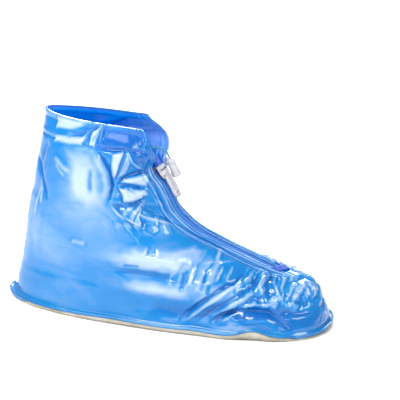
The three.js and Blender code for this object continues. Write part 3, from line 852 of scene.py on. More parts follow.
@dataclass(frozen=True)
class Fold:
    """A fold or dent of the film along a bent line that is seen from the side, in millimetres.

    Attributes:
        line: The line's points, x and z.
        half: Half of the fold's width.
        rise: Its height, below zero for a dent.
        crest: Its cross-section.
        fade: How its height runs along the line.
        side: NEAR or FAR.
    """

    line: tuple[tuple[float, float], ...]
    half: float
    rise: float
    crest: Crest = Crest.SHARP
    fade: Fade = Fade.BOTH
    side: int = NEAR

    def height(self, x: np.ndarray, z: np.ndarray) -> np.ndarray:
        """The fold's height at places seen from the side.

        The nearest of the line's straight pieces gives the distance d, in half widths, and the share along
        the whole line. A round crest is e to the less d squared, and a sharp one about e to the less 1.5 d.
        """
        knots = np.array(self.line, dtype=float)
        starts = run_along(knots)
        away = np.full(x.shape, 1e9)
        t = np.zeros(x.shape)
        for start, knot, span, step in zip(starts, knots, np.diff(starts), np.diff(knots, axis=0)):
            ahead = step / span
            dx, dz = x - knot[0], z - knot[1]
            held = np.clip(dx * ahead[0] + dz * ahead[1], 0, span)
            gap = np.hypot(dx - held * ahead[0], dz - held * ahead[1]) / self.half
            t = np.where(gap < away, (start + held) / starts[-1], t)
            away = np.minimum(gap, away)
        shape = hill(away) if self.crest is Crest.ROUND else np.exp(-1.5 * (np.sqrt(away**2 + 0.01) - 0.1))
        if self.fade is Fade.BOTH:
            shape = shape * smooth(3.5 * t) * smooth(3.5 * (1 - t))
        elif self.fade is Fade.END:
            shape = shape * np.clip(1 - t, 0, 1) * smooth(t * starts[-1] / self.half + 0.5)
        return self.rise * shape


@dataclass(frozen=True)
class Facet:
    """A flat-topped facet of the film between creases, seen from the side, in millimetres.

    Attributes:
        corners: The corners of its convex outline, anticlockwise with +X right and +Z up.
        edge: How far its sloping edge reaches inwards.
        rise: How far its top stands out.
        paleness_and_painted_light: How much paler it is painted, mostly as a painted highlight; below zero,
            painted shade.
        side: NEAR or FAR.
    """

    corners: tuple[tuple[float, float], ...]
    edge: float
    rise: float
    paleness_and_painted_light: float
    side: int = NEAR

    def inside(self, x: np.ndarray, z: np.ndarray) -> np.ndarray:
        """0 outside, and 1 where the nearest side of the outline is at least edge away."""
        depth = np.full(x.shape, 1e9)
        corners = np.array(self.corners, dtype=float)
        for start, end in zip(corners, np.roll(corners, -1, axis=0)):
            ahead = unit(end - start)
            depth = np.minimum(depth, (z - start[1]) * ahead[0] - (x - start[0]) * ahead[1])
        return np.clip(depth / self.edge, 0, 1)

    def height(self, x: np.ndarray, z: np.ndarray) -> np.ndarray:
        """The rise times the share inside, which leaves a crease along each side."""
        return self.rise * self.inside(x, z)


@dataclass(frozen=True)
class Fan:
    """Pleats that spread from one gathered point: rounded backs with sharp valleys between them.

    The angles are in degrees, seen from the side with +X right and +Z up.
    """

    x: float
    z: float
    low: float
    high: float
    pleats: float
    start: float
    reach: float
    rise: float
    swirl: float
    side: int = NEAR

    def height(self, x: np.ndarray, z: np.ndarray) -> np.ndarray:
        """The absolute value of a sine of the angle, grown from the start and gone at the reach."""
        dx, dz = x - self.x, z - self.z
        away = np.hypot(dx, dz)
        middle = math.radians((self.low + self.high) / 2)
        c, s = math.cos(middle), math.sin(middle)
        angle = np.arctan2(dz * c - dx * s, dx * c + dz * s)
        half = math.radians(self.high - self.low) / 2
        share = (angle / half + 1) / 2 + self.swirl * np.sin(away / self.reach * 4)
        inside = smooth(share / 0.12) * smooth((1 - share) / 0.12)
        grown = smooth(away / self.start) * smooth((self.reach - away) / (self.reach * 0.6))
        wave = np.abs(np.sin(np.pi * share * self.pleats + 0.5 * np.sin(2.3 * share * self.pleats)))
        return self.rise * inside * grown * wave


@dataclass(frozen=True)
class Crumple:
    """A crumpled area: an ellipse filled with small facets, in millimetres."""

    x: float
    z: float
    half_x: float
    half_z: float
    cell: float
    rise: float
    turn: float
    stretch: float
    seed: int
    side: int = NEAR

    def height(self, x: np.ndarray, z: np.ndarray) -> np.ndarray:
        """Facets inside the ellipse, faded at its edge.

        Pillows with sharp valleys, less a second set, which leaves sharp ridges.
        """
        dx, dz = x - self.x, z - self.z
        inside = np.exp(-(((dx / self.half_x) ** 2 + (dz / self.half_z) ** 2) ** 1.5))
        c, s = math.cos(math.radians(self.turn)), math.sin(math.radians(self.turn))
        u = (dx * c + dz * s) / (self.cell * self.stretch)
        v = (dz * c - dx * s) / self.cell
        u, v = u + 0.35 * np.sin(1.7 * v), v + 0.3 * np.sin(1.3 * u)
        return self.rise * inside * (facets(u, v, self.seed) - 0.8 * facets(u + 7.3, v + 3.1, self.seed + 50))


def facets(u: np.ndarray, v: np.ndarray, seed: int) -> np.ndarray:
    """Pillows of about one unit, with sharp valleys between them.

    Each square of the plane has one centre at a random place in it, with a height and a tilt of its own. A
    point takes the highest of the tilted domes of the nine squares round it.

    Args:
        u: First coordinate.
        v: Second coordinate.
        seed: Which set of random numbers.

    Returns:
        Heights, about -0.5 to 0.5.
    """
    table = np.random.default_rng(seed).random((64, 64, 5))
    iu, iv = np.floor(u).astype(int), np.floor(v).astype(int)
    best = np.full(u.shape, -9.0)
    for du in (-1, 0, 1):
        for dv in (-1, 0, 1):
            cell = table[(iu + du) % 64, (iv + dv) % 64]
            a = u - (iu + du) - cell[..., 0]
            b = v - (iv + dv) - cell[..., 1]
            tilt = (cell[..., 3] - 0.5) * a + (cell[..., 4] - 0.5) * b
            best = np.maximum(best, 0.5 * cell[..., 2] + tilt - 0.8 * (a * a + b * b))
    return best - 0.1


FOLDS = (
    # the pinched pleat in the cuff: its long crease, a second one and the upright ridge
    Fold(((-46, 170), (-60, 164), (-78, 156), (-94, 149)), 2.4, -3.0, fade=Fade.END),
    Fold(((-48, 172), (-62, 168), (-84, 171)), 2.0, -1.4),
    Fold(((-47, 171), (-51, 162), (-53, 149)), 3.0, 3.2, fade=Fade.END),
    Fold(((-44, 170), (-46, 160), (-49, 150)), 2.2, -2.4, fade=Fade.END),
    Fold(((-56, 165), (-62, 152)), 2.0, -1.2),
    # the smooth panel beside it, and the fold line under the panel
    Fold(((-38, 159), (-18, 156)), 9.0, -2.2, Crest.ROUND, Fade.EVEN),
    Fold(((-50, 151), (-36, 150), (-22, 150)), 1.8, -2.6),
    Fold(((-22, 149), (-14, 145), (-8, 146)), 1.6, -1.2),
    Fold(((-16, 166), (-12, 158), (-14, 150), (-9, 143)), 1.8, 1.8),
    Fold(((-11, 164), (-9, 156), (-8, 147)), 1.6, 1.4),
    # the valley that falls from the seam past the node beside the slider
    Fold(((-52, 152), (-44, 142), (-38, 130), (-36, 119), (-39, 104)), 2.4, -3.4),
    Fold(((-56, 152), (-49, 142), (-43, 130), (-41, 118), (-44, 104)), 3.4, 1.8, Crest.ROUND),
    # the ridges of the three-sided facet, whose tip stands out
    Fold(((-27, 152), (-32, 140), (-36, 124)), 2.4, 2.6),
    Fold(((-26, 152), (-22, 140), (-14, 128)), 2.6, 2.6),
    # the creases that fan out from the node
    Fold(((-34, 121), (-25, 127), (-12, 130)), 2.0, -3.0),
    Fold(((-34, 121), (-22, 119), (-11, 114)), 1.8, -2.4),
    Fold(((-34, 120), (-29, 112), (-27, 103)), 1.8, -2.4),
    Fold(((-38, 104), (-28, 102), (-20, 103), (-8, 109)), 2.8, -2.6),
    Fold(((-26, 117), (-18, 112)), 1.6, -1.4),
    # the creases that run down and forwards from the node along the zip
    Fold(((-38, 104), (-30, 96), (-20, 90), (-8, 84)), 1.8, 2.4),
    Fold(((-33, 101), (-24, 92), (-14, 82)), 1.8, -1.8),
    Fold(((-24, 101), (-10, 92), (4, 86), (16, 82)), 2.2, 2.0),
    Fold(((-18, 104), (-4, 94), (12, 84), (26, 78)), 1.6, -1.8),
    Fold(((-8, 108), (2, 98), (14, 88), (30, 80)), 1.6, 1.8),
    Fold(((-16, 94), (-12, 86)), 1.6, 1.4),
    Fold(((-4, 92), (0, 84)), 1.5, 1.3),
    # the long lines beside the zip
    Fold(((-3, 124), (6, 106), (22, 91), (44, 78), (70, 66)), 1.5, 1.5),
    Fold(((-6, 122), (2, 105), (18, 89), (40, 75), (66, 63)), 1.5, -1.7),
    Fold(((30, 80), (52, 68), (76, 57)), 1.5, 1.5),
    # the ankle's soft dents and the creases near the heel
    Fold(((-55, 136), (-56, 124), (-55, 110)), 2.6, -1.4, Crest.ROUND),
    Fold(((-64, 140), (-67, 120), (-66, 100)), 8.0, 1.6, Crest.ROUND),
    Fold(((-92, 140), (-82, 131), (-72, 127)), 2.8, 1.5),
    Fold(((-90, 134), (-84, 127), (-79, 123)), 2.4, 0.9),
    Fold(((-112, 137), (-106, 118), (-98, 96)), 2.4, -2.2),
    Fold(((-108, 124), (-104, 108), (-106, 90)), 2.0, 1.5),
    Fold(((-104, 112), (-110, 94), (-114, 76)), 1.8, 1.2),
    Fold(((-98, 150), (-104, 140), (-108, 126)), 2.4, -1.4),
    # long dents and bulges along the side of the foot
    Fold(((-76, 67), (-59, 66)), 2.4, 1.0, Crest.ROUND),
    Fold(((-30, 61), (0, 60), (34, 57)), 8.0, 3.4, Crest.ROUND),
    Fold(((-40, 47), (0, 47.5), (36, 45)), 3.0, -1.5, Crest.ROUND),
    Fold(((-30, 36), (6, 36), (38, 33)), 6.0, 2.4, Crest.ROUND),
    Fold(((-4, 20), (20, 17), (46, 16)), 5.0, -1.4, Crest.ROUND),
    Fold(((-6, 66), (4, 64)), 3.0, -1.4, Crest.ROUND),
    Fold(((-28, 52), (-8, 54)), 2.4, -1.2),
    # short pleats that hang in the bulge
    Fold(((30, 55), (28, 44), (26, 34)), 2.8, -1.5, Crest.ROUND),
    Fold(((36, 57), (34, 47), (33, 40)), 2.0, 1.2),
    Fold(((38, 56.5), (52, 57), (68, 56)), 1.3, 0.8),
    Fold(((45, 54), (45, 43)), 2.0, -1.0, Crest.ROUND),
    Fold(((50, 44), (49, 34)), 2.0, -1.1, Crest.ROUND),
    Fold(((57, 55), (55, 44)), 1.6, 1.0),
    Fold(((65, 54), (62, 44)), 1.6, 0.9),
    Fold(((52, 66), (51, 60)), 2.0, 1.5, Crest.ROUND, Fade.EVEN),
    Fold(((20, 52), (16, 46), (18, 38)), 2.0, 0.7),
    # the sharp fold that climbs from the base to the toe's gather, and the pleats under it
    Fold(((22, 8), (42, 27), (60, 41), (80, 51)), 1.8, -3.4),
    Fold(((28, 8), (48, 26), (66, 39), (84, 48)), 2.6, 3.0),
    Fold(((38, 9), (56, 24), (72, 35), (86, 44)), 1.6, -2.4),
    Fold(((46, 10), (62, 23), (78, 33), (90, 41)), 2.0, 2.2),
    Fold(((54, 11), (68, 22), (82, 31), (92, 38)), 1.6, -2.0),
    Fold(((60, 12), (74, 22), (88, 30)), 1.8, 1.8),
    # the bulge's edge that sweeps down to the toe cap
    Fold(((46, 13), (62, 20), (80, 25), (100, 24), (110, 17), (122, 6)), 3.0, -4.4),
    Fold(((60, 12), (80, 17), (98, 16), (110, 9)), 4.0, 1.5, Crest.ROUND),
    Fold(((52, 17), (70, 26), (88, 30), (102, 29), (112, 22)), 2.4, 2.6),
    # the toe's top: upright creases and hooks
    Fold(((101, 48), (103, 40), (110, 33), (111, 25)), 1.5, 1.2),
    Fold(((105, 47), (106, 41), (99, 34), (102, 28)), 1.4, -1.2),
    Fold(((109, 46), (117, 41), (114, 33), (118, 25)), 1.4, 1.2),
    Fold(((113, 44), (121, 39), (119, 33)), 1.4, -1.1),
    Fold(((117, 42), (126, 38), (129, 33), (124, 29)), 1.5, 1.5),
    Fold(((122, 43), (132, 36), (134, 28)), 1.4, 1.2),
    Fold(((96, 47), (90, 41), (96, 35)), 1.4, 1.1),
    Fold(((90, 47), (86, 40), (90, 33)), 1.4, -1.2),
    Fold(((112, 23), (122, 21), (134, 20)), 1.7, -1.4),
    # the far side
    Fold(((-58.6, 139.2), (-44.0, 97.4)), 7.8, -2.4, Crest.ROUND, Fade.EVEN, side=FAR),
    Fold(((-90.8, 146.2), (-82.0, 107.9)), 8.7, 2.1, Crest.ROUND, Fade.EVEN, side=FAR),
    Fold(((-73.3, 76.6), (-14.7, 66.1)), 9.6, 2.4, Crest.ROUND, Fade.EVEN, side=FAR),
    Fold(((-44.0, 45.2), (35.2, 41.8)), 7.8, -2.8, Crest.ROUND, Fade.EVEN, side=FAR),
    Fold(((14.7, 13.9), (73.3, 41.8)), 7.0, 2.8, Crest.ROUND, Fade.EVEN, side=FAR),
    Fold(((64.5, 17.4), (105.5, 34.8)), 7.0, -2.8, Crest.ROUND, Fade.EVEN, side=FAR),
    Fold(((87.9, 45.2), (114.3, 24.4)), 7.0, 2.4, Crest.ROUND, Fade.EVEN, side=FAR),
    Fold(((-40, 166), (-86, 148)), 3.2, -2.0, fade=Fade.END, side=FAR),
    Fold(((-52, 150), (-44, 128)), 3.2, -2.2, side=FAR),
    Fold(((-44, 128), (-30, 108)), 3.0, -2.0, side=FAR),
    Fold(((-34, 142), (-30, 118)), 3.2, 2.2, side=FAR),
    Fold(((-96, 132), (-74, 118)), 2.8, 1.4, side=FAR),
    Fold(((20, 10), (78, 48)), 2.8, -2.4, side=FAR),
    Fold(((36, 10), (84, 42)), 3.2, 2.0, Crest.ROUND, side=FAR),
    Fold(((58, 14), (98, 26)), 3.6, -2.2, side=FAR),
    Fold(((106, 46), (114, 22)), 2.4, 1.8, side=FAR),
    Fold(((116, 40), (126, 30)), 2.2, 1.5, side=FAR),
)

# the far lip that turns out at the mouth
LIP = Fold(((-11.7, 146.2), (-7.3, 128.8)), 17.4, 10.1, Crest.ROUND, Fade.EVEN, side=FAR)

FACETS = (
    # the two facets in the cuff, painted white as highlights, and the upright one beside the pinch
    Facet(((-90, 172), (-92, 161), (-76, 162), (-58, 168), (-66, 171.5)), 4.0, 2.2, 0.85),
    Facet(((-91, 157), (-93, 150), (-64, 151), (-60, 159), (-74, 160)), 3.6, 2.0, 0.75),
    Facet(((-56, 165), (-58, 152), (-52, 151), (-49, 167)), 2.0, 1.0, 0.5),
    # the pale part of the ankle: where the film lies on its stuffing, with a painted highlight
    Facet(
        ((-82, 149), (-74, 112), (-60, 96), (-41, 100), (-40, 124), (-46, 142), (-54, 150)), 11.0, 0.8, 0.3
    ),
    # the three-sided facet and the pillows beside the node, painted paler as highlights
    Facet(((-38, 147), (-39, 128), (-35, 124), (-26, 152)), 3.0, 1.8, 0.65),
    Facet(((-25, 150), (-34, 125), (-26, 129), (-22, 138)), 2.2, 0.6, 0.35),
    Facet(((-32, 123), (-24, 119), (-11, 116), (-9, 128), (-24, 126)), 3.4, 2.0, 0.6),
    Facet(((-33, 118), (-28, 106), (-20, 104), (-9, 110), (-12, 115), (-23, 118)), 4.0, 2.6, 0.75),
    # the smooth toe cap, painted deeper as shade
    Facet(((104, 20), (112, 6), (150, 6), (150, 20), (126, 22)), 3.0, 0.6, -0.3),
    # the pale part of the ankle on the far side: where the film lies on its stuffing, with a painted
    # highlight
    Facet(
        ((-84, 148), (-76, 112), (-62, 98), (-42, 104), (-40, 124), (-46, 142), (-56, 149)),
        9.0,
        1.6,
        0.5,
        side=FAR,
    ),
)

FANS = (
    Fan(97, 50, 150, 262, 6.0, 5.0, 20.0, 1.0, 0.14),
    Fan(100, 51, -82, 24, 5.0, 5.0, 16.0, 0.8, 0.16),
    Fan(-47, 170, 200, 285, 4.0, 6.0, 22.0, 1.0, 0.04),
    Fan(-10, 108, 160, 262, 6.0, 6.0, 26.0, 1.3, 0.05),
    Fan(97, 50, 150, 262, 6.0, 7.0, 34.0, 1.7, 0.05, side=FAR),
    Fan(100, 51, -82, 24, 5.0, 6.0, 30.0, 1.5, 0.06, side=FAR),
    Fan(-14, 112, 150, 262, 6.0, 6.0, 30.0, 1.3, 0.05, side=FAR),
)

CRUMPLES = (
    Crumple(106, 38, 32, 16, 8.0, 3.6, 35, 1.3, 3),
    Crumple(104, 40, 32, 14, 4.8, 2.2, -30, 1.4, 4),
    Crumple(126, 32, 14, 12, 5.0, 2.0, 15, 1.6, 5),
    Crumple(106, 36, 24, 14, 3.6, 1.3, 70, 2.2, 16),
    Crumple(84, 44, 18, 10, 5.0, 1.4, 55, 1.6, 15),
    Crumple(108, 37, 28, 13, 6.4, 1.7, -50, 1.2, 17),
    Crumple(116, 34, 20, 12, 4.2, 1.1, 10, 1.4, 18),
    Crumple(92, 42, 16, 10, 3.6, 0.9, -20, 1.5, 19),
    Crumple(-18, 94, 24, 12, 6.0, 1.5, -45, 1.7, 6),
    Crumple(8, 84, 26, 7, 5.0, 1.1, -32, 2.0, 7),
    Crumple(-22, 114, 14, 16, 6.0, 1.0, 20, 1.3, 8),
    Crumple(-74, 160, 26, 11, 8.0, 1.0, 25, 2.0, 9),
    Crumple(44, 50, 26, 12, 7.0, 1.3, 85, 1.8, 10),
    Crumple(-40, 70, 120, 70, 46.0, 2.6, 8, 1.4, 11),
    Crumple(60, 13, 60, 8, 7.0, 1.3, 4, 3.0, 12),
    Crumple(-116, 100, 14, 60, 9.0, 1.1, 78, 2.6, 13),
    Crumple(70, 24, 30, 12, 7.0, 1.2, 35, 2.4, 14),
    Crumple(104, 36, 34, 20, 9.0, 2.6, 60, 1.3, 23, side=FAR),
    Crumple(110, 38, 26, 14, 5.0, 1.2, 30, 1.4, 24, side=FAR),
    Crumple(-18, 98, 26, 16, 8.0, 1.8, -50, 1.5, 26, side=FAR),
    Crumple(-40, 130, 34, 34, 15.0, 2.2, 20, 1.3, 28, side=FAR),
    Crumple(40, 46, 34, 22, 10.0, 1.8, 80, 1.4, 30, side=FAR),
    Crumple(-40, 70, 120, 70, 42.0, 3.2, 8, 1.4, 31, side=FAR),
    Crumple(-120, 90, 18, 70, 12.0, 1.6, 80, 2.2, 33, side=FAR),
)


@dataclass(frozen=True)
class PaintedLightSpot:
    """A place painted paler or deeper, seen from the side. Some paler ones are where the film lies on
    something light; the others paint highlights, and those with a share below zero paint shade.
    """

    x: float
    z: float
    half_x: float
    half_z: float
    share: float
    side: int = NEAR


# places painted deeper as shade (share below zero) and paler as highlights, some also where the film lies on
# its stuffing
PAINTED_LIGHT_SPOTS = (
    PaintedLightSpot(-30, 158, 18, 9, -0.7),
    PaintedLightSpot(-12, 142, 8, 9, -0.45),
    PaintedLightSpot(40, 68, 34, 8, -0.3),
    PaintedLightSpot(-2, 100, 12, 12, -0.2),
    PaintedLightSpot(92, 40, 18, 8, -0.15),
    PaintedLightSpot(88, 21, 28, 4.5, -0.9),
    PaintedLightSpot(128, 14, 18, 12, -0.15),
    PaintedLightSpot(-66, 130, 20, 22, 0.34),
    PaintedLightSpot(-60, 108, 22, 14, 0.1),
    PaintedLightSpot(-52, 96, 30, 16, 0.3),
    PaintedLightSpot(-6, 96, 22, 14, 0.18),
    PaintedLightSpot(2, 59, 34, 7, 0.75),
    PaintedLightSpot(6, 36, 32, 6, 0.5),
    PaintedLightSpot(38, 46, 18, 10, 0.4),
    PaintedLightSpot(62, 36, 20, 6, 0.25),
    PaintedLightSpot(74, 9, 16, 2.0, 0.45),
    PaintedLightSpot(90, 13, 24, 4, -0.35),
    PaintedLightSpot(52, 24, 26, 5, -0.2),
    PaintedLightSpot(106, 38, 24, 14, 0.12),
    PaintedLightSpot(-60, 120, 30, 28, 0.3, side=FAR),
    PaintedLightSpot(0, 52, 40, 12, 0.6, side=FAR),
)


@dataclass(frozen=True)
class Bead:
    """A bead or a groove along an edge of the film, in millimetres.

    Attributes:
        at: Its middle's distance from the edge.
        half: Half of its width.
        rise: Its height, below zero for a groove.
        drift: How far it wanders sideways.
        swell: How much its height changes.
    """

    at: float
    half: float
    rise: float
    drift: float = 0.0
    swell: float = 0.0

    def height(self, past: np.ndarray, wander: Union[float, np.ndarray] = 0.0) -> np.ndarray:
        """A rounded hill, moved and raised by the shares of a slow wave along the edge."""
        return (self.rise + self.swell * wander) * hill((past - self.at - self.drift * wander) / self.half)


# beside the zip, from the doubled band's outer edge
WELD = (
    Bead(-3.4, 0.6, 0.9, drift=-0.25),
    Bead(-2.1, 0.5, -0.6),
    Bead(-0.6, 0.65, 1.1, drift=0.3),
    Bead(3.0, 1.8, -0.9),
    Bead(5.2, 1.0, 0.9, swell=0.4),
    Bead(7.6, 1.0, -0.7, drift=0.5),
)

# at the cuff, down from its edge: the tuck under the hem, and the cord channel's seam
CUFF_LINES = (Bead(5.0, 0.8, -0.5), Bead(17.4, 1.2, 0.5), Bead(20.0, 1.1, -1.0))


@dataclass
class FilmShell:
    """The film: flange, wall and cuff in one, open at the slot above the zip's end and at the cuff."""

    form: CoverForm
    palette: Palette
    rows: int = 182
    flange_rows: int = 7
    skirt_rows: int = 5
    slot_columns: int = 5
    band_columns: int = 17
    near_columns: int = 228
    far_columns: int = 120
    crowding: float = 0.55
    wall: float = 0.7
    band_width: float = 5.0
    band_margin: float = 3.0
    band_raise: float = 0.9
    hem_height: float = 4.2
    hem_raise: float = 1.3
    flange_tone: float = 0.40
    seam_raise: float = 0.8
    lump_raise: float = 2.0
    ridge_painted_light: float = 0.42

    def arcs(self, z: np.ndarray, side: int, columns: int) -> np.ndarray:
        """Arc lengths of one side's columns at each height: slot, doubled band and then the rest.

        The rest crowd together towards the toe, where the film is most crumpled.

        Args:
            z: Heights, R of them.
            side: NEAR or FAR.
            columns: How many columns the rest has.

        Returns:
            R by columns, from 0 at the ridge.
        """
        slot = self.form.slot_half(z)[:, None]
        band = slot + self.band_width + self.band_margin
        end = self.form.length(side, z)[:, None]
        share = np.linspace(0, 1, columns + 1)[None, 1:]
        inner = slot * np.linspace(0, 1, self.slot_columns + 1)[None, :]
        middle = mix(slot, band, np.linspace(0, 1, self.band_columns + 1)[None, 1:])
        rest = mix(band, end, self.crowding * share + (1 - self.crowding) * share**2)
        return np.concatenate([inner, middle, rest], axis=1)

    def rise(self, s: np.ndarray, z: np.ndarray, at: np.ndarray) -> tuple[np.ndarray, np.ndarray]:
        """How far the film stands out from the plain form, and how pale it is painted, with painted
        highlights and painted shade.

        Args:
            s: Arc lengths, R by C.
            z: Heights, one a row.
            at: The plain form's points there.

        Returns:
            The rise in millimetres and the painted light and paleness, mostly from 0 to 1, each R by C.
        """
        form = self.form
        level, away = z[:, None], np.abs(s)
        x, up = at[..., 0], at[..., 2]
        side = np.where(s < 0, NEAR, FAR)
        length = np.where(s < 0, form.length(NEAR, z)[:, None], form.length(FAR, z)[:, None])
        slot = form.slot_half(z)[:, None]
        fade = self.fading(s, level, length, slot)
        total = sum((side == fold.side) * fold.height(x, up) for fold in FOLDS + FANS + CRUMPLES + FACETS)
        mouth = smooth(away / 14.0) * smooth((level - 0.645 * form.height) / 14.0) * (s > 0)
        total = total * fade + (side == LIP.side) * LIP.height(x, up) * np.maximum(fade, mouth)
        paleness_and_painted_light = self.paint_light_and_paleness(total, side, x, up)
        lumps = facets(s / 9.0, level / 4.2, 71) - 0.7 * facets(s / 5.0 + 3.0, level / 2.6, 72)
        lumps = lumps * hill(away / 15.0) * smooth((form.zip_end - 2.0 - level) / 3.0)
        worked = total + self.lump_raise * lumps + self.trim(away, level, slot)
        # painted highlight lines along the ridges and painted shade along the creases
        paleness_and_painted_light = paleness_and_painted_light + self.ridge_painted_light * np.tanh(2.0 * self.ridges(worked, at))
        seam = hill((length - away) / 0.9) * smooth((level - form.flange_top - 6) / 4)
        total = worked + self.foot_spread(level, x) + self.seam_raise * seam
        return total, np.clip(paleness_and_painted_light, -0.2, 1.2)

    def fading(self, s: np.ndarray, level: np.ndarray, length: np.ndarray, slot: np.ndarray) -> np.ndarray:
        """How much of the folds shows: none beside the zip, at the heel's seam and at the foot.

        Ahead of the zip's end they cross the ridge, and on the near side they reach the slot's corner
        above the tapes. The hem takes most of them away.
        """
        form, away = self.form, np.abs(s)
        beside = smooth((away - slot - self.band_width) / 7.0)
        toe = smooth((form.zip_end - level) / 8.0) * smooth(away / 6.0)
        corner = smooth((level - form.zip_top) / 6.0) * smooth((away - slot - 0.5) / 3.0) * (s < 0)
        ends = smooth((length - away) / 12.0) * smooth((level - form.flange_top) / 5.0)
        hem = 1 - 0.6 * smooth((level - form.height + self.hem_height) / self.hem_height)
        return np.maximum(np.maximum(beside, toe), corner) * ends * hem

    def paint_light_and_paleness(self, total: np.ndarray, side: np.ndarray, x: np.ndarray, up: np.ndarray) -> np.ndarray:
        """How pale the film is painted: painted highlight where it stands out and painted shade where it
        sinks, and the spots and the facets raise it, or lower it where their share is below zero.

        The outlines of the spots and the facets are broken up by a set of facets 11 by 5 mm wide.
        """
        broken = 5.0 * facets(x / 11.0, up / 5.0, 61)
        paleness_and_painted_light = 0.34 + 0.36 * np.tanh(total / 2.0)
        for spot in PAINTED_LIGHT_SPOTS:
            across, upwards = (x + 2 * broken - spot.x) / spot.half_x, (up + broken - spot.z) / spot.half_z
            inside = hill(across) * hill(upwards)
            paleness_and_painted_light = paleness_and_painted_light + (side == spot.side) * spot.share * inside
        for facet in FACETS:
            inside = smooth(facet.inside(x + 0.2 * broken, up + 0.25 * broken))
            paleness_and_painted_light = paleness_and_painted_light + (side == facet.side) * facet.paleness_and_painted_light * inside
        return paleness_and_painted_light

    def ridges(self, rise: np.ndarray, at: np.ndarray) -> np.ndarray:
        """How sharply the film bends outwards: less the second difference of the rise over the step squared.

        Args:
            rise: How far the film stands out, R by C.
            at: The plain form's points, R by C by 3.

        Returns:
            The sum of both ways along the grid, above zero on ridges and below zero in creases.
        """
        bend = np.zeros_like(rise)
        for axis in (0, 1):
            step = np.maximum(np.linalg.norm(np.gradient(at, axis=axis), axis=-1), 0.5)
            bend -= np.gradient(np.gradient(rise, axis=axis), axis=axis) / step**2
        return bend

    def foot_spread(self, level: np.ndarray, x: np.ndarray) -> np.ndarray:
        """How far the wall's foot spreads to meet the flange: a curve at the sides, straighter at the toe."""
        up = np.clip((level - self.form.flange_top) / self.form.spread_height, 0, 1)
        power = mix(2.0, 1.15, smooth((x / self.form.half_length - 0.55) / 0.3))
        return self.form.spread(x) * (1 - up) ** power

    def trim(self, away: np.ndarray, level: np.ndarray, slot: np.ndarray) -> np.ndarray:
        """The worked edges: the doubled band beside the zip, its weld, the cuff's hem and cord channel."""
        past = away - slot - self.band_width
        on_zip = smooth((level - self.form.zip_end + 6.0) / 6.0)
        on_zip = on_zip * (1 - 0.8 * smooth((level - self.form.zip_top + 3.0) / 9.0))
        wander = np.sin(level / 9.0) + 0.6 * np.sin(level / 3.7 + 1.0)
        band = self.band_raise * (1 - smooth(past / 1.4)) + sum(bead.height(past, wander) for bead in WELD)
        down = self.form.height - level
        hem = self.hem_raise * np.sqrt(np.clip(1 - (2 * down / self.hem_height - 1) ** 2, 0, 1))
        lines = sum(bead.height(down) for bead in CUFF_LINES)
        return band * on_zip + hem + lines * smooth(past / 8.0)

    def build(self) -> list[Object]:
        """Makes the film's two halves, which meet in a seam at the toe and at the heel."""
        return [self.half("film_near", NEAR, self.near_columns), self.half("film_far", FAR, self.far_columns)]

    def half(self, name: str, side: int, columns: int) -> Object:
        """Makes one half of the film: skirt, flange, wall and cuff in one grid.

        Args:
            name: The piece's name.
            side: NEAR or FAR.
            columns: Columns between the doubled band and the heel.

        Returns:
            The object, with Solidify for the wall's thickness.
        """
        form = self.form
        share = np.linspace(0, 1, self.rows)
        wall_z = form.ridge_levels(form.flange_top + form.fillet + 0.9, form.height, share)
        slot_row = int(np.searchsorted(wall_z, form.zip_end))
        wall_z[slot_row] = form.zip_end
        wall_s = self.across(wall_z, side, columns)
        at = form.place(wall_s, wall_z)
        out = form.normal(wall_s, wall_z)
        out[:, [0, -1], 1] *= 0.0
        out = unit(out)
        rise, paleness_and_painted_light = self.rise(wall_s, wall_z, at)
        walls = at + out * rise[..., None]
        up = np.clip((wall_z - form.flange_top)[:, None] / form.spread_height, 0, 1)
        walls[..., 2] += form.root_share * form.lift(at[..., 0], wall_s) * (1 - up) ** 2
        t = np.linspace(1, 0, self.flange_rows)
        down = np.linspace(1, 0, self.skirt_rows)[:-1]
        low_rows = len(t) + len(down)
        low_s = self.across(np.full(low_rows, form.flange_top), side, columns)
        flange = form.flange(low_s[: len(t)], t)
        skirt = form.skirt(low_s[: len(down)], down)
        points = np.concatenate([skirt, flange, walls])
        paleness_and_painted_light = np.concatenate([np.full(low_s.shape, self.flange_tone), paleness_and_painted_light])
        arcs = np.concatenate([low_s, wall_s])
        run = np.concatenate([-form.flange_width - 2 * down, -form.flange_width * t, wall_z])
        sheet = np.stack([arcs, np.broadcast_to(run[:, None], arcs.shape)], -1)
        keep = np.ones((len(points) - 1, arcs.shape[1] - 1), dtype=bool)
        slot = slice(0, self.slot_columns) if side == FAR else slice(-self.slot_columns, None)
        keep[slot_row + low_rows :, slot] = False
        surface = Surface.grid(points, keep=keep, sheet=sheet, values={"paleness_and_painted_light": paleness_and_painted_light})
        piece = add_piece(name, surface, self.palette.film, replaces=["upper"], close=False)
        thickness = piece.modifiers.new("wall", "SOLIDIFY")
        thickness.thickness = self.wall * MM
        thickness.offset = -1.0
        thickness.use_even_offset = False
        return piece

    def across(self, z: np.ndarray, side: int, columns: int) -> np.ndarray:
        """Arc lengths of one half: from the ridge to the heel on the far side, and back on the near side."""
        arcs = self.arcs(z, side, columns)
        return arcs if side == FAR else -arcs[:, ::-1]


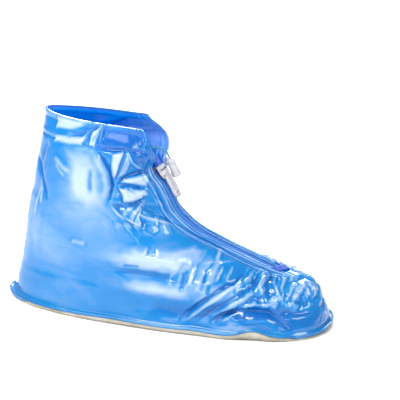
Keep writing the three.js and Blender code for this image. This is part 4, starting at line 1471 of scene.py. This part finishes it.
@dataclass
class Sole:
    """The sole sheet: a flat sheet whose rim rises to the flange, with treads under it."""

    form: CoverForm
    palette: Palette
    columns: int = 560
    rim_share: float = 1.0
    rim_drop: float = 0.75
    edge_share: float = 0.4
    flat_share: float = 0.955
    spine_share: float = 0.72
    tread_pitch: float = 7.0
    tread_depth: float = 0.6

    def build(self) -> Object:
        """Makes the sheet from rings drawn in from its edge to the line under its middle.

        The lower face runs from the middle to the rim, with cross ribs. The rim is a bulged side that
        ends close under the flange, and the upper face follows the flange in and then lies flat.

        Returns:
            The object.
        """
        form = self.form
        half = self.columns // 2
        arcs = np.linspace(1e-6, 1, half + 1)[None, :]

        def ring_at(t: float) -> np.ndarray:
            """A ring of points under the flange, at the share t of its width."""
            made = []
            for side in (FAR, NEAR):
                length = form.length(side, np.array([form.flange_top]))[0]
                made.append(form.flange(side * arcs * length, np.array([t]))[0])
            ring = np.concatenate([made[0], made[1][1:-1][::-1]])
            ring[:, 2] -= self.rim_drop
            return ring

        edge = ring_at(self.rim_share)
        signs = np.concatenate([np.full(half + 1, 1.0), np.full(half - 1, -1.0)])
        low = self.edge_share * form.lift(edge[:, 0], signs)
        ends = smooth((np.abs(edge[:, 0]) / form.half_length - 0.78) / 0.08)
        hidden = ring_at(0.45)
        edge[:, :2] = mix(edge[:, :2], hidden[:, :2], ends[:, None])
        top = mix(edge[:, 2], np.full(len(edge), form.sole_thickness), ends)
        reach = form.half_length * self.spine_share
        middle = np.stack([np.clip(edge[:, 0], -reach, reach), np.zeros(len(edge)), np.zeros(len(edge))], -1)
        rings = []
        for r in np.linspace(0, self.flat_share, 44):
            ring = mix(middle, edge, r)
            tread = self.tread(ring[:, 0], ring[:, 1]) * smooth(np.array((0.92 - r) / 0.06))
            ring[:, 2] = tread + low * smooth(np.array((r - 0.7) / 0.255))
            rings.append(ring)
        for a in np.linspace(0, np.pi, 13)[1:]:
            ring = mix(middle, edge, mix(self.flat_share, 1.0, math.sin(a)))
            ring[:, 2] = mix(low, top, 0.5 * (1 - math.cos(a)))
            rings.append(ring)
        for t, level in ((0.75, 0.9), (0.55, 0.5), (0.3, 0.1)):
            ring = mix(ring_at(t), mix(middle, edge, 0.9), ends[:, None])
            ring[:, 2] = mix(np.full(len(edge), form.sole_thickness), top, level)
            rings.append(ring)
        for r in (0.8, 0.5, 0.0):
            ring = mix(middle, edge, r)
            ring[:, 2] = form.sole_thickness
            rings.append(ring)
        surface = Surface.grid(np.stack(rings)[:, ::-1], ring=True)
        return add_piece("sole_sheet", surface, self.palette.sole, replaces=["sole"])

    def tread(self, x: np.ndarray, y: np.ndarray) -> np.ndarray:
        """Grooves between cross ribs that bend at the middle like an arrow: a wave of x less half of |y|."""
        wave = np.cos(2 * np.pi * (x - 0.5 * np.abs(y)) / self.tread_pitch)
        return self.tread_depth * smooth((wave - 0.1) / 0.5)


# The zip


def strip_surface(
    form: CoverForm, arcs: np.ndarray, z: np.ndarray, outer: np.ndarray, inner: np.ndarray
) -> Surface:
    """A closed strip that follows the form: its two faces stand off the form by outer and inner.

    Args:
        form: The cover's form.
        arcs: Arc lengths, R by C.
        z: Heights, one a row.
        outer: How far the outer face stands off, R by C.
        inner: How far the inner face stands off, R by C.

    Returns:
        The strip, with rounded edges.
    """
    at, out = form.place(arcs, z), form.normal(arcs, z)
    top = at + out * outer[..., None]
    low = at + out * inner[..., None]
    middle = (top + low) / 2
    rings = np.concatenate([middle[:, :1], top, middle[:, -1:], low[:, ::-1]], axis=1)
    flat = np.stack([arcs, np.broadcast_to(z[:, None], arcs.shape)], -1)
    sheet = np.concatenate([flat[:, :1], flat, flat[:, -1:], flat[:, ::-1]], axis=1)
    ends = [np.concatenate([m[:1], m, m[-1:], m[::-1]])[None] for m in (middle[0], middle[-1])]
    rings = np.concatenate([ends[0], rings, ends[1]])
    sheet = np.concatenate([sheet[:1], sheet, sheet[-1:]])
    return Surface.grid(rings, ring=True, sheet=sheet)


def tube_along(line: np.ndarray, side: np.ndarray, radius: np.ndarray, sides: int) -> np.ndarray:
    """Rings of points round a line.

    Args:
        line: Points of the line, N by 3.
        side: A direction across the line at each point, N by 3.
        radius: The radius, N by sides or one number.
        sides: Points a ring.

    Returns:
        N by sides by 3.
    """
    along = unit(np.gradient(line, axis=0))
    across = unit(side - (side * along).sum(-1, keepdims=True) * along)
    up = np.cross(along, across)
    angle = np.linspace(0, 2 * np.pi, sides, endpoint=False)
    spread = across[:, None] * np.cos(angle)[None, :, None] + up[:, None] * np.sin(angle)[None, :, None]
    reach = np.broadcast_to(np.asarray(radius, dtype=float), (len(line), sides))
    return line[:, None] + spread * reach[..., None]


@dataclass
class Zip:
    """The tapes, the closed coil, the end patch, the stop and the film flap behind the slider."""

    form: CoverForm
    palette: Palette
    coil_half: float = 2.0
    tape_edge: float = 6.7
    tape_sunk: float = 0.2
    coil_pitch: float = 1.7
    coil_aside: float = 0.8
    coil_reach: float = 1.1
    coil_rise: float = 0.68
    coil_sunk: float = 0.08
    wire: float = 0.34
    patch_half: float = 11.6
    patch_below: float = 5.5
    patch_above: float = 4.0
    flap_low: float = 0.62
    flap_high: float = 0.833
    flap_overlap: float = 6.0
    flap_depth: float = 6.2
    flap_edge_depth: float = 1.7
    stop_size: float = 2.4
    stop_reach: float = 6.4

    def build(self) -> list[Object]:
        """Makes every piece of the zip."""
        return [
            self.tape("tape_near", "zip_tape_near", NEAR),
            self.tape("tape_far", "zip_tape_far", FAR),
            self.coil(),
            self.patch(),
            self.flap(),
            self.stop(),
        ]

    def tape(self, name: str, node: str, side: int) -> Object:
        """One tape: a thin strip with a ribbed edge beside the coil."""
        z = self.form.ridge_levels(self.form.zip_end + 1, self.form.zip_top, np.linspace(0, 1, 150))
        across = np.linspace(self.coil_half + 0.3, self.tape_edge, 14)
        arcs = np.broadcast_to(across * side, (len(z), 14))
        if side < 0:
            arcs = arcs[:, ::-1]
        outer = 0.12 * hill((np.abs(arcs) - 3.1) / 0.35) - self.tape_sunk
        surface = strip_surface(self.form, arcs, z, outer, np.full(arcs.shape, -0.9))
        return add_piece(name, surface, self.palette.tape, replaces=[node])

    def coil(self) -> Object:
        """Two spirals of wire that reach between each other's turns, from the zip's end to the slider.

        Each turn runs across the zip as a cosine and out of it as a sine, with its middle set aside from
        the zip's, and the second spiral lies half a pitch further on.
        """
        form = self.form
        low, high = form.zip_end + 1, form.slider_height
        turns = int(form.ridge_length(low, high) / self.coil_pitch)
        steps = turns * 12
        share = np.linspace(0, 1, steps)
        parts = []
        for side in (NEAR, FAR):
            phase = 2 * np.pi * turns * share + (np.pi if side > 0 else 0.0)
            z = form.ridge_levels(low, high, share)
            base = form.place(np.zeros((steps, 1)), z)[:, 0]
            out = form.normal(np.zeros((steps, 1)), z)[:, 0]
            out[:, 1] = 0
            out = unit(out)
            line = base + out * (self.coil_rise * np.sin(phase) - self.coil_sunk)[:, None]
            line[:, 1] += side * self.coil_aside + self.coil_reach * np.cos(phase)
            parts.append(Surface.tube(tube_along(line, out, self.wire, 6)))
        surface = Surface.joined(parts)
        return add_piece("zip_coil", surface, self.palette.coil, replaces=["zip_chain"])

    def patch(self) -> Object:
        """The welded patch over the coil's last turns: crinkled, with a pressed border."""
        low, high = self.level_at(-self.patch_below), self.level_at(self.patch_above)
        z = self.form.ridge_levels(low, high, np.linspace(0, 1, 30))
        arcs = np.broadcast_to(np.linspace(-self.patch_half, self.patch_half, 64), (30, 64))
        v = np.broadcast_to(np.linspace(0, 3, 30)[:, None], arcs.shape)
        border = smooth((self.patch_half - np.abs(arcs)) / 1.6) * smooth(v / 0.5) * smooth((3 - v) / 0.5)
        crinkle = 0.5 * facets(arcs / 2.4 + 0.4 * v, v, 41) * border
        outer = 1.55 + 0.55 * border + crinkle + 0.25 * hill(arcs / 2.2)
        surface = strip_surface(self.form, arcs, z, outer, np.full(arcs.shape, 1.15))
        return add_piece("end_patch", surface, self.palette.patch, replaces=["zip_end_patch"])

    def level_at(self, distance: float) -> float:
        """The height at a distance of up to 6 mm up the ridge from the zip's end, or down it below zero."""
        z = np.linspace(self.form.zip_end, self.form.zip_end + math.copysign(6.0, distance), 60)
        run = run_along(self.form.place(np.zeros((60, 1)), z)[:, 0])
        return float(np.interp(abs(distance), run, z))

    def flap(self) -> Object:
        """The film flap behind the slider, with soft upright folds that hang from its edges."""
        form = self.form
        z = np.linspace(self.flap_low, self.flap_high, 46) * form.height
        share = np.linspace(-1, 1, 70)[None, :]
        slot = form.slot_half(z)[:, None]
        arcs = share * (slot + self.flap_overlap)
        turn = smooth((np.abs(arcs) - slot + 3.0) / 5.0)
        v = np.linspace(0, 1, 46)[:, None]
        folds = 0.27 * np.abs(np.sin(share * 7.0 + 1.2 * v)) * (1 - turn)
        outer = folds - mix(self.flap_depth, self.flap_edge_depth, turn)
        surface = strip_surface(form, arcs, z, outer, outer - 0.8)
        surface.values["paleness_and_painted_light"] = np.full(len(surface.points), 0.5)
        return add_piece("zip_flap", surface, self.palette.gusset, replaces=["gusset"])

    def stop(self) -> Object:
        """The crimped stop on the near tape: a small pressed block with rounded corners."""
        top = self.form.zip_top - 0.4
        z = np.linspace(top - self.stop_size, top, 14)
        arcs = np.broadcast_to(np.linspace(-self.stop_reach, self.stop_size - self.stop_reach, 14), (14, 14))
        v = np.linspace(-1, 1, 14)
        dome = np.outer(1 - np.abs(v) ** 4, 1 - np.abs(v) ** 4)
        crimp = 0.25 * hill(v / 0.18)[:, None]
        outer = 0.4 + 1.0 * dome**0.5 - crimp * dome
        surface = strip_surface(self.form, arcs, z, outer, np.full(arcs.shape, 0.1))
        return add_piece("top_stop_crimp", surface, self.palette.stop, replaces=["top_stop"])


@dataclass(frozen=True)
class LocalFrame:
    """A place with its own axes."""

    origin: np.ndarray
    axes: np.ndarray

    def world(self, points: np.ndarray) -> np.ndarray:
        """Local points in the cover's axes: the origin and each axis times its coordinate."""
        return self.origin + points @ self.axes

    def at(self, x: float, y: float, z: float, tilt: float = 0.0, roll: float = 0.0) -> "LocalFrame":
        """A frame at a local place, turned in degrees: first by tilt round y, then by roll round its x.

        A tilt takes its x axis down, and a roll takes its z axis to the near side.
        """
        a, b = math.radians(tilt), math.radians(roll)
        turn = np.array([[math.cos(a), 0, -math.sin(a)], [0, 1, 0], [math.sin(a), 0, math.cos(a)]])
        rolled = np.array([[1, 0, 0], [0, math.cos(b), math.sin(b)], [0, -math.sin(b), math.cos(b)]])
        return LocalFrame(self.world(np.array([x, y, z])), rolled @ turn @ self.axes)


def slider_frame(form: CoverForm) -> LocalFrame:
    """The slider's frame: its origin on the ridge, x down the zip, y across and z outwards."""
    height = form.slider_height
    z = np.array([height + SLIDER_LENGTH / 3, height, height - SLIDER_LENGTH / 3])
    above, here, below = form.place(np.zeros((3, 1)), z)[:, 0]
    down = unit(below - above)
    return LocalFrame(here, np.array([down, [0.0, 1.0, 0.0], [-down[2], 0.0, down[0]]]))


def rounded_prism(outline: np.ndarray, low: float, high: float, radius: float, dome: float = 0.0) -> Surface:
    """A flat solid with rounded edges.

    Each level is the outline drawn in along its own normal: by radius times 1 less the sine at the edges.

    Args:
        outline: Points round it in x and y, N by 2, anticlockwise.
        low: The lower face's z.
        high: The upper face's z.
        radius: The edges' radius.
        dome: How much the middle of the upper face rises.

    Returns:
        The surface.
    """
    forward = np.roll(outline, -1, axis=0) - np.roll(outline, 1, axis=0)
    inward = unit(np.stack([-forward[:, 1], forward[:, 0]], -1))
    rings = []
    angles = np.linspace(0, np.pi / 2, 5)
    levels = [(radius * (1 - math.sin(a)), low + radius * (1 - math.cos(a))) for a in angles]
    levels += [(radius * (1 - math.cos(a)), high - radius * (1 - math.sin(a))) for a in angles]
    for inset, z in levels:
        rings.append(np.column_stack([outline + inward * inset, np.full(len(outline), z)]))
    centre = outline.mean(0)
    top = outline + inward * radius
    for share in (0.8, 0.55, 0.3):
        lift = dome * (1 - share**2)
        rings.append(np.column_stack([mix(centre, top, share), np.full(len(outline), high + lift)]))
    return Surface.tube(np.stack(rings))


def rounded_outline(x0: float, x1: float, y0: float, y1: float, radius: float, steps: int = 8) -> np.ndarray:
    """A rectangle's outline with rounded corners, anticlockwise, in x and y."""
    angle = np.linspace(0, np.pi / 2, steps)
    corners = []
    for k, (x, y) in enumerate(((x1, y1), (x0, y1), (x0, y0), (x1, y0))):
        sx, sy = (1 if x == x1 else -1), (1 if y == y1 else -1)
        turned = angle + k * np.pi / 2
        across, along = np.cos(turned) - sx, np.sin(turned) - sy
        corners.append(np.stack([x + radius * across, y + radius * along], -1))
    return np.concatenate(corners)


def turned_solid(profile: Sequence[tuple[float, float]], columns: int = 32) -> np.ndarray:
    """Rings of a profile of radius and height turned round the z axis."""
    angle = np.linspace(0, 2 * np.pi, columns, endpoint=False)
    table = np.array(profile)
    ring = np.stack([np.cos(angle), np.sin(angle)], -1)
    flat = table[:, :1, None] * ring[None]
    return np.concatenate([flat, np.broadcast_to(table[:, 1, None, None], flat.shape[:2] + (1,))], -1)


@dataclass
class Slider:
    """The slider and its pull tab, which turns on the slider's pin."""

    form: CoverForm
    palette: Palette
    length: float = SLIDER_LENGTH
    width: float = 10.0
    coil_top: float = 1.0
    plate: float = 1.5
    pin_place: float = 1.0
    pin_height: float = 5.6
    lug_inner: float = 2.6
    lug_width: float = 1.3
    tab_length: float = 25.0
    tab_width: float = 7.8
    tab_thickness: float = 3.0
    tab_tilt: float = 5.0
    tab_roll: float = 10.0
    hole: float = 1.6

    def build(self) -> list[Object]:
        """Makes the slider and the tab."""
        frame = slider_frame(self.form)
        hinge = frame.at(self.pin_place, 0, self.pin_height, self.tab_tilt, self.tab_roll)
        return [self.body(frame), self.tab(hinge)]

    def body(self, frame: LocalFrame) -> Object:
        """The slider's body: its domed plate, bridge, lower plate, two lips, neck, two cheeks and pin."""
        half, side = self.length / 2, self.width / 2
        under = self.coil_top + 0.5
        over = under + self.plate
        outline = self.plan(half, side)
        finish = self.palette.white_plastic
        parts = [
            rounded_prism(outline, under, over, 0.5, 0.5),
            self.bridge(over),
            rounded_prism(outline * [0.9, 0.5], -3.8, -2.8, 0.3),
        ]
        for low, *plan in (
            (0.9, -half + 3, half - 4, 2.5, 3.7, 0.4),
            (0.9, -half + 3, half - 4, -3.7, -2.5, 0.4),
            (-3.2, -half + 0.4, -half + 2.4, -1.6, 1.6, 0.5),
        ):
            parts.append(rounded_prism(rounded_outline(*plan), low, under + 0.4, 0.2))
        angle = np.linspace(0, np.pi, 20)
        arch = np.stack([1.9 * np.cos(angle), 1.3 * np.sin(angle)], -1)
        height = self.pin_height - over + 0.2
        cheek = np.concatenate([[[-2.3, -height], [2.3, -height]], arch])
        for y in (self.lug_inner, -self.lug_inner - self.lug_width):
            solid = rounded_prism(cheek, 0.0, self.lug_width, 0.35)
            x, z, depth = solid.points[:, 0], solid.points[:, 1], solid.points[:, 2]
            solid.points = np.stack([x + self.pin_place, y + depth, z + self.pin_height], -1)
            parts.append(solid)
        pin = turned_solid([(0.78, -3.2), (0.8, 0.0), (0.78, 3.2)], 18)
        pin = np.stack([pin[..., 0] + self.pin_place, pin[..., 2], pin[..., 1] + self.pin_height], -1)
        parts.append(Surface.tube(pin))
        surface = Surface.joined(parts)
        surface.points = frame.world(surface.points)
        piece = add_piece("slider_body", surface, finish, replaces=["slider"])
        sharpen(piece, 50)
        return piece

    def bridge(self, foot: float) -> Surface:
        """The rounded bridge behind the pin: a block of round-cornered outlines that draw in as they rise."""
        rings = []
        for share in np.linspace(0, 1, 14):
            draw = 2.0 * (1 - math.sqrt(max(0.0, 1 - share**3)))
            ring = rounded_outline(-6.3 + draw, -2.4 - 0.3 * draw, -4.4 + draw, 4.4 - draw, 1.6 - 0.5 * share)
            rings.append(np.column_stack([ring, np.full(len(ring), foot - 0.3 + 4.1 * share)]))
        return Surface.tube(np.stack(rings))

    def plan(self, half: float, side: float) -> np.ndarray:
        """The plate from above: square-shouldered at the back and rounded at the nose."""
        angle = np.linspace(0, 2 * np.pi, 72, endpoint=False)
        c, s = np.cos(angle), np.sin(angle)
        power = np.where(c > 0, 2.4, 5.0)
        ways = ((half, c), (side, s))
        return np.stack([size * np.sign(v) * np.abs(v) ** (2 / power) for size, v in ways], -1)

    def tab(self, frame: LocalFrame) -> Object:
        """The tab: a blade with a raised rim, grip ribs and a hole near its tip, and an eye on the pin.

        The blade is an open ring: round the hole and along it, with the share from the hole's edge to the
        blade's edge as the second parameter. Its faces stand at half the thickness times the relief.
        """
        centre = np.array([self.tab_length - self.tab_width / 2 - 0.6, 0.0])
        outline = self.blade_outline()
        angle = np.arctan2(outline[:, 1] - centre[1], outline[:, 0] - centre[0])
        hole = centre + self.hole * np.stack([np.cos(angle), np.sin(angle)], -1)
        share = np.concatenate([np.linspace(0, 0.2, 10), np.linspace(0.2, 1, 60)[1:]])
        flat = mix(hole[None], outline[None], share[:, None, None])
        height = self.blade_height(flat[..., 0], flat[..., 1], centre)
        upper, lower = (np.concatenate([flat, sign * height[..., None]], -1) for sign in (1, -1))
        rings = np.concatenate([upper, lower[::-1], upper[:1]])
        blade = Surface.grid(rings[:, ::-1], ring=True)
        eye_half = [(1.2, -2.15), (1.35, -2.2), (2.05, -2.2), (2.2, -2.0)]
        eye = turned_solid(eye_half + [(r, -h) for r, h in reversed(eye_half)] + eye_half[:1], 36)
        eye = Surface.grid(np.stack([eye[..., 0], eye[..., 2], eye[..., 1]], -1), ring=True)
        surface = Surface.joined([blade, eye])
        surface.points = frame.world(surface.points)
        finish = self.palette.white_plastic
        piece = add_piece("tab_blade", surface, finish, body="tab", replaces=["pull_tab"])
        sharpen(piece, 50)
        return piece

    def blade_outline(self) -> np.ndarray:
        """The blade's outline, evenly spaced: straight sides, a round tip and shoulders to the eye."""
        round_tip = self.tab_width / 2
        angle = np.linspace(-np.pi / 2, np.pi / 2, 30)
        tip = round_tip * np.stack([np.cos(angle), np.sin(angle)], -1) + [self.tab_length - round_tip, 0.0]
        neck = 2.15
        side = np.array([[5.2, round_tip], [4.2, round_tip - 0.5], [2.8, neck], [1.6, neck]])
        corners = np.concatenate([tip, side, side[::-1] * [1, -1], tip[:1]])
        run = run_along(corners)
        even = np.linspace(0, run[-1], 220, endpoint=False)
        return np.stack([np.interp(even, run, corners[:, k]) for k in (0, 1)], -1)

    def blade_height(self, x: np.ndarray, y: np.ndarray, centre: np.ndarray) -> np.ndarray:
        """Half the blade's thickness: full on the rim and round the hole, less in the panel, with ribs."""
        half = self.tab_thickness / 2
        edge = np.minimum(self.tab_width / 2 - np.abs(y), self.tab_length - x)
        tip = self.tab_width / 2 - np.hypot(np.maximum(x - self.tab_length + self.tab_width / 2, 0), y)
        edge = np.where(x > self.tab_length - self.tab_width / 2, tip, edge)
        from_hole = np.hypot(x - centre[0], y - centre[1]) - self.hole
        near_edge = np.minimum(edge, from_hole)
        panel = smooth((edge - 0.9) / 0.4) * smooth((from_hole - 0.9) / 0.4) * smooth((x - 4.6) / 0.8)
        ribs = 0.5 + 0.5 * np.cos(2 * np.pi * x / 1.9)
        grip = smooth((x - 9.0) / 1.5) * smooth((18.0 - x) / 1.5)
        rounding = np.sqrt(np.clip(1 - (1 - np.clip(near_edge / 0.4, 0, 1)) ** 2, 0.04, 1))
        return half * rounding * (1 - 0.42 * panel * (1 - 0.7 * ribs * grip))


# The drawcord


@dataclass
class Drawcord:
    """The braided cord across the opening, with the moulded bell that ends it."""

    form: CoverForm
    palette: Palette
    diameter: float = 1.6
    length: float = 42.0
    route: tuple[tuple[float, float, float], ...] = (
        (-15.1, -20.6, 29.8),
        (-11.7, -17.8, 28.8),
        (-8.1, -14.0, 27.6),
        (-4.5, -10.2, 26.4),
        (-1.1, -6.8, 25.0),
        (1.5, -3.6, 23.2),
        (3.5, -0.4, 21.1),
        (4.6, 2.6, 18.7),
        (5.2, 5.0, 16.1),
        (5.6, 6.8, 13.7),
        (5.7, 7.9, 11.5),
    )
    bell_top: tuple[float, float, float] = (5.8, 8.1, 11.1)
    bell_foot: tuple[float, float, float] = (11.8, 10.6, -4.4)
    bell_length: float = 17.0
    top_radius: float = 2.8
    base_radius: float = 4.1
    turns: float = 17.0

    def build(self) -> list[Object]:
        place = slider_frame(self.form).origin
        bell = self.bell(place)
        cord, line = self.cord(place)
        return [cord, bell]

    def cord(self, place: np.ndarray) -> tuple[Object, np.ndarray]:
        """The cord: a tube whose radius rises over each strand of the braid.

        The route's points are joined by a cubic through them, and two sets of four spirals, of opposite
        turn, take it in turns to lie on top.

        Args:
            place: The slider's place, from which the route is given.

        Returns:
            The object and the points of its middle line.
        """
        knots = np.array(self.route) + place
        line = through_points(knots, 160)
        sides = 24
        angle = np.linspace(0, 2 * np.pi, sides, endpoint=False)[None, :]
        along = np.linspace(0, 1, len(line))[:, None]
        one = np.cos(4 * angle + 2 * np.pi * self.turns * along)
        other = np.cos(4 * angle - 2 * np.pi * self.turns * along)
        strand = np.maximum(one, other)
        radius = self.diameter / 2 * (0.9 + 0.1 * strand)
        side = np.broadcast_to(np.array([0.3, 0.0, 1.0]), line.shape)
        surface = Surface.tube(tube_along(line, side, radius, sides))
        padded = np.concatenate([strand[:1], strand, strand[-1:]])
        surface.values["strand"] = np.clip(padded.reshape(-1) * 0.5 + 0.5, 0, 1)
        cord = add_piece("cord_braid", surface, self.palette.cord, replaces=["drawcord"])
        return cord, line

    def bell(self, place: np.ndarray) -> Object:
        """The bell: a profile turned round the line from its top to its foot, hollow at the foot."""
        top, foot = np.array(self.bell_top) + place, np.array(self.bell_foot) + place
        length, r0, r1 = self.bell_length, self.top_radius, self.base_radius
        profile = [
            (0.0, 0.0),
            (1.2, 0.0),
            (0.72 * r0, -0.1),
            (1.0 * r0, -0.5),
            (1.2 * r0, -1.3),
            (1.28 * r0, -0.2 * length),
            (1.1 * r0, -0.24 * length),
            (1.3 * r0, -0.28 * length),
            (1.36 * r0, -0.42 * length),
            (0.9 * r1, -0.6 * length),
            (0.97 * r1, -0.75 * length),
            (r1, -0.92 * length),
            (0.96 * r1, -0.98 * length),
            (0.88 * r1, -length),
            (r1 - 1.5, -length),
            (r1 - 1.7, 0.6 - length),
            (r1 - 1.8, 4.0 - length),
            (0.0, 4.2 - length),
        ]
        axis = unit(top - foot)
        side = unit(np.cross(axis, [0.0, 1.0, 0.0]))
        frame = LocalFrame(top, np.array([side, np.cross(axis, side), axis]))
        surface = Surface.grid(frame.world(turned_solid(profile, 40)), ring=True)
        finish = self.palette.white_plastic
        piece = add_piece("bell_moulded", surface, finish, replaces=["cord_end"])
        sharpen(piece, 55)
        return piece


def through_points(knots: np.ndarray, count: int) -> np.ndarray:
    """Evenly spaced points on a smooth line through the knots.

    Between two knots it is the cubic whose slope at each knot is half the step from the knot before to the
    knot after.

    Args:
        knots: The knots, K by 3.
        count: How many points.

    Returns:
        count by 3.
    """
    slope = np.gradient(knots, axis=0)
    t = np.linspace(0, len(knots) - 1, 60 * len(knots))
    k = np.minimum(t.astype(int), len(knots) - 2)
    u = (t - k)[:, None]
    line = (
        knots[k] * (1 + 2 * u) * (1 - u) ** 2
        + slope[k] * u * (1 - u) ** 2
        + knots[k + 1] * u * u * (3 - 2 * u)
        + slope[k + 1] * u * u * (u - 1)
    )
    run = run_along(line)
    even = np.linspace(0, run[-1], count)
    return np.stack([np.interp(even, run, line[:, axis]) for axis in range(3)], -1)


# Camera, floor and lights


def facing(right: np.ndarray, up: np.ndarray, back: np.ndarray, at: np.ndarray) -> Matrix:
    """The placing matrix of a camera or lamp at a point, which looks the way that back doesn't."""
    rows = [[float(right[k]), float(up[k]), float(back[k]), float(at[k])] for k in range(3)]
    return Matrix(rows + [[0.0, 0.0, 0.0, 1.0]])


@dataclass
class Studio:
    """The photograph's viewpoint, a pale floor and big soft lamps, with places in metres."""

    azimuth: float = 17.0
    elevation: float = 20.0
    distance: float = 1.4
    lens: float = 147.15
    aim: tuple[float, float, float] = (0.0, 0.0, 0.085)
    aside: float = 0.0283
    above: float = 0.0133

    def camera(self) -> None:
        """Makes the camera: it looks at a point a little beside and above the cover's middle."""
        a, e = math.radians(self.azimuth), math.radians(self.elevation)
        back = np.array([math.sin(a) * math.cos(e), -math.cos(a) * math.cos(e), math.sin(e)])
        right = np.array([math.cos(a), math.sin(a), 0.0])
        up = np.cross(back, right)
        aim = np.array(self.aim) + right * self.aside + up * self.above
        data = bpy.data.cameras.new("view")
        data.lens = self.lens
        data.sensor_width = 36.0
        data.clip_end = 20.0
        camera = bpy.data.objects.new("view", data)
        camera.matrix_world = facing(right, up, back, aim + back * self.distance)
        bpy.context.scene.collection.objects.link(camera)
        bpy.context.scene.camera = camera

    def floor(self) -> None:
        """A wide pale floor just under the cover."""
        mesh = bpy.data.meshes.new("floor")
        mesh.from_pydata([(-4, -4, 0), (4, -4, 0), (4, 4, 0), (-4, 4, 0)], [], [(0, 1, 2, 3)])
        made = bpy.data.materials.new("paper_sweep_matt")
        made.use_nodes = True
        shader = made.node_tree.nodes["Principled BSDF"]
        shader.inputs["Base Color"].default_value = linear("#FBFBFB")
        shader.inputs["Roughness"].default_value = 0.9
        mesh.materials.append(made)
        floor = bpy.data.objects.new("floor", mesh)
        bpy.context.scene.collection.objects.link(floor)

    def lamp(self, name: str, place: Sequence[float], size: tuple[float, float], watts: float) -> None:
        """A rectangular soft lamp that faces the cover."""
        data = bpy.data.lights.new(name, "AREA")
        data.shape = "RECTANGLE"
        data.size, data.size_y = size
        data.energy = watts
        lamp = bpy.data.objects.new(name, data)
        at = np.array(place, dtype=float)
        back = unit(at - np.array([0.0, 0.0, 0.08]))
        right = unit(np.cross([0.0, 0.0, 1.0], back))
        lamp.matrix_world = facing(right, np.cross(back, right), back, at)
        bpy.context.scene.collection.objects.link(lamp)

    def lights(self) -> None:
        """A bright even surround with five soft boxes, which the gloss reflects as pale patches."""
        scene = bpy.context.scene
        scene.view_settings.view_transform = "Standard"
        world = bpy.data.worlds.new("surround")
        world.use_nodes = True
        tree = world.node_tree
        tree.nodes.clear()
        seen = add_node(tree, "ShaderNodeLightPath").outputs["Is Camera Ray"]
        surround = add_node(tree, "ShaderNodeBackground", {"Color": linear("#F6FBFD"), "Strength": 0.4})
        paper = add_node(tree, "ShaderNodeBackground", {"Color": linear("#FFFFFF"), "Strength": 1.0})
        both = add_node(tree, "ShaderNodeMixShader", {0: seen, 1: surround.outputs[0], 2: paper.outputs[0]})
        add_node(tree, "ShaderNodeOutputWorld", {"Surface": both.outputs[0]})
        scene.world = world
        self.lamp("key", (-0.25, -0.75, 1.25), (0.7, 0.4), 16.0)
        self.lamp("left", (-0.85, -1.1, 0.8), (0.8, 0.8), 5.5)
        self.lamp("front", (0.35, -1.4, 0.6), (1.0, 0.3), 4.0)
        self.lamp("right", (1.1, -0.5, 0.9), (0.5, 0.4), 6.0)
        self.lamp("back", (-0.2, 1.2, 0.9), (0.9, 0.5), 34.0)


def main() -> None:
    """Builds the camera, the cord, the film and the rest in order, and reports each piece."""
    logging.basicConfig(level=logging.INFO, format="%(message)s")
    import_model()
    studio = Studio()
    studio.camera()
    form = CoverForm()
    palette = Palette.build()
    Drawcord(form, palette).build()
    FilmShell(form, palette).build()
    Sole(form, palette).build()
    Zip(form, palette).build()
    Slider(form, palette).build()
    studio.floor()
    studio.lights()
    bpy.context.view_layer.update()


if __name__ == "__main__":
    main()
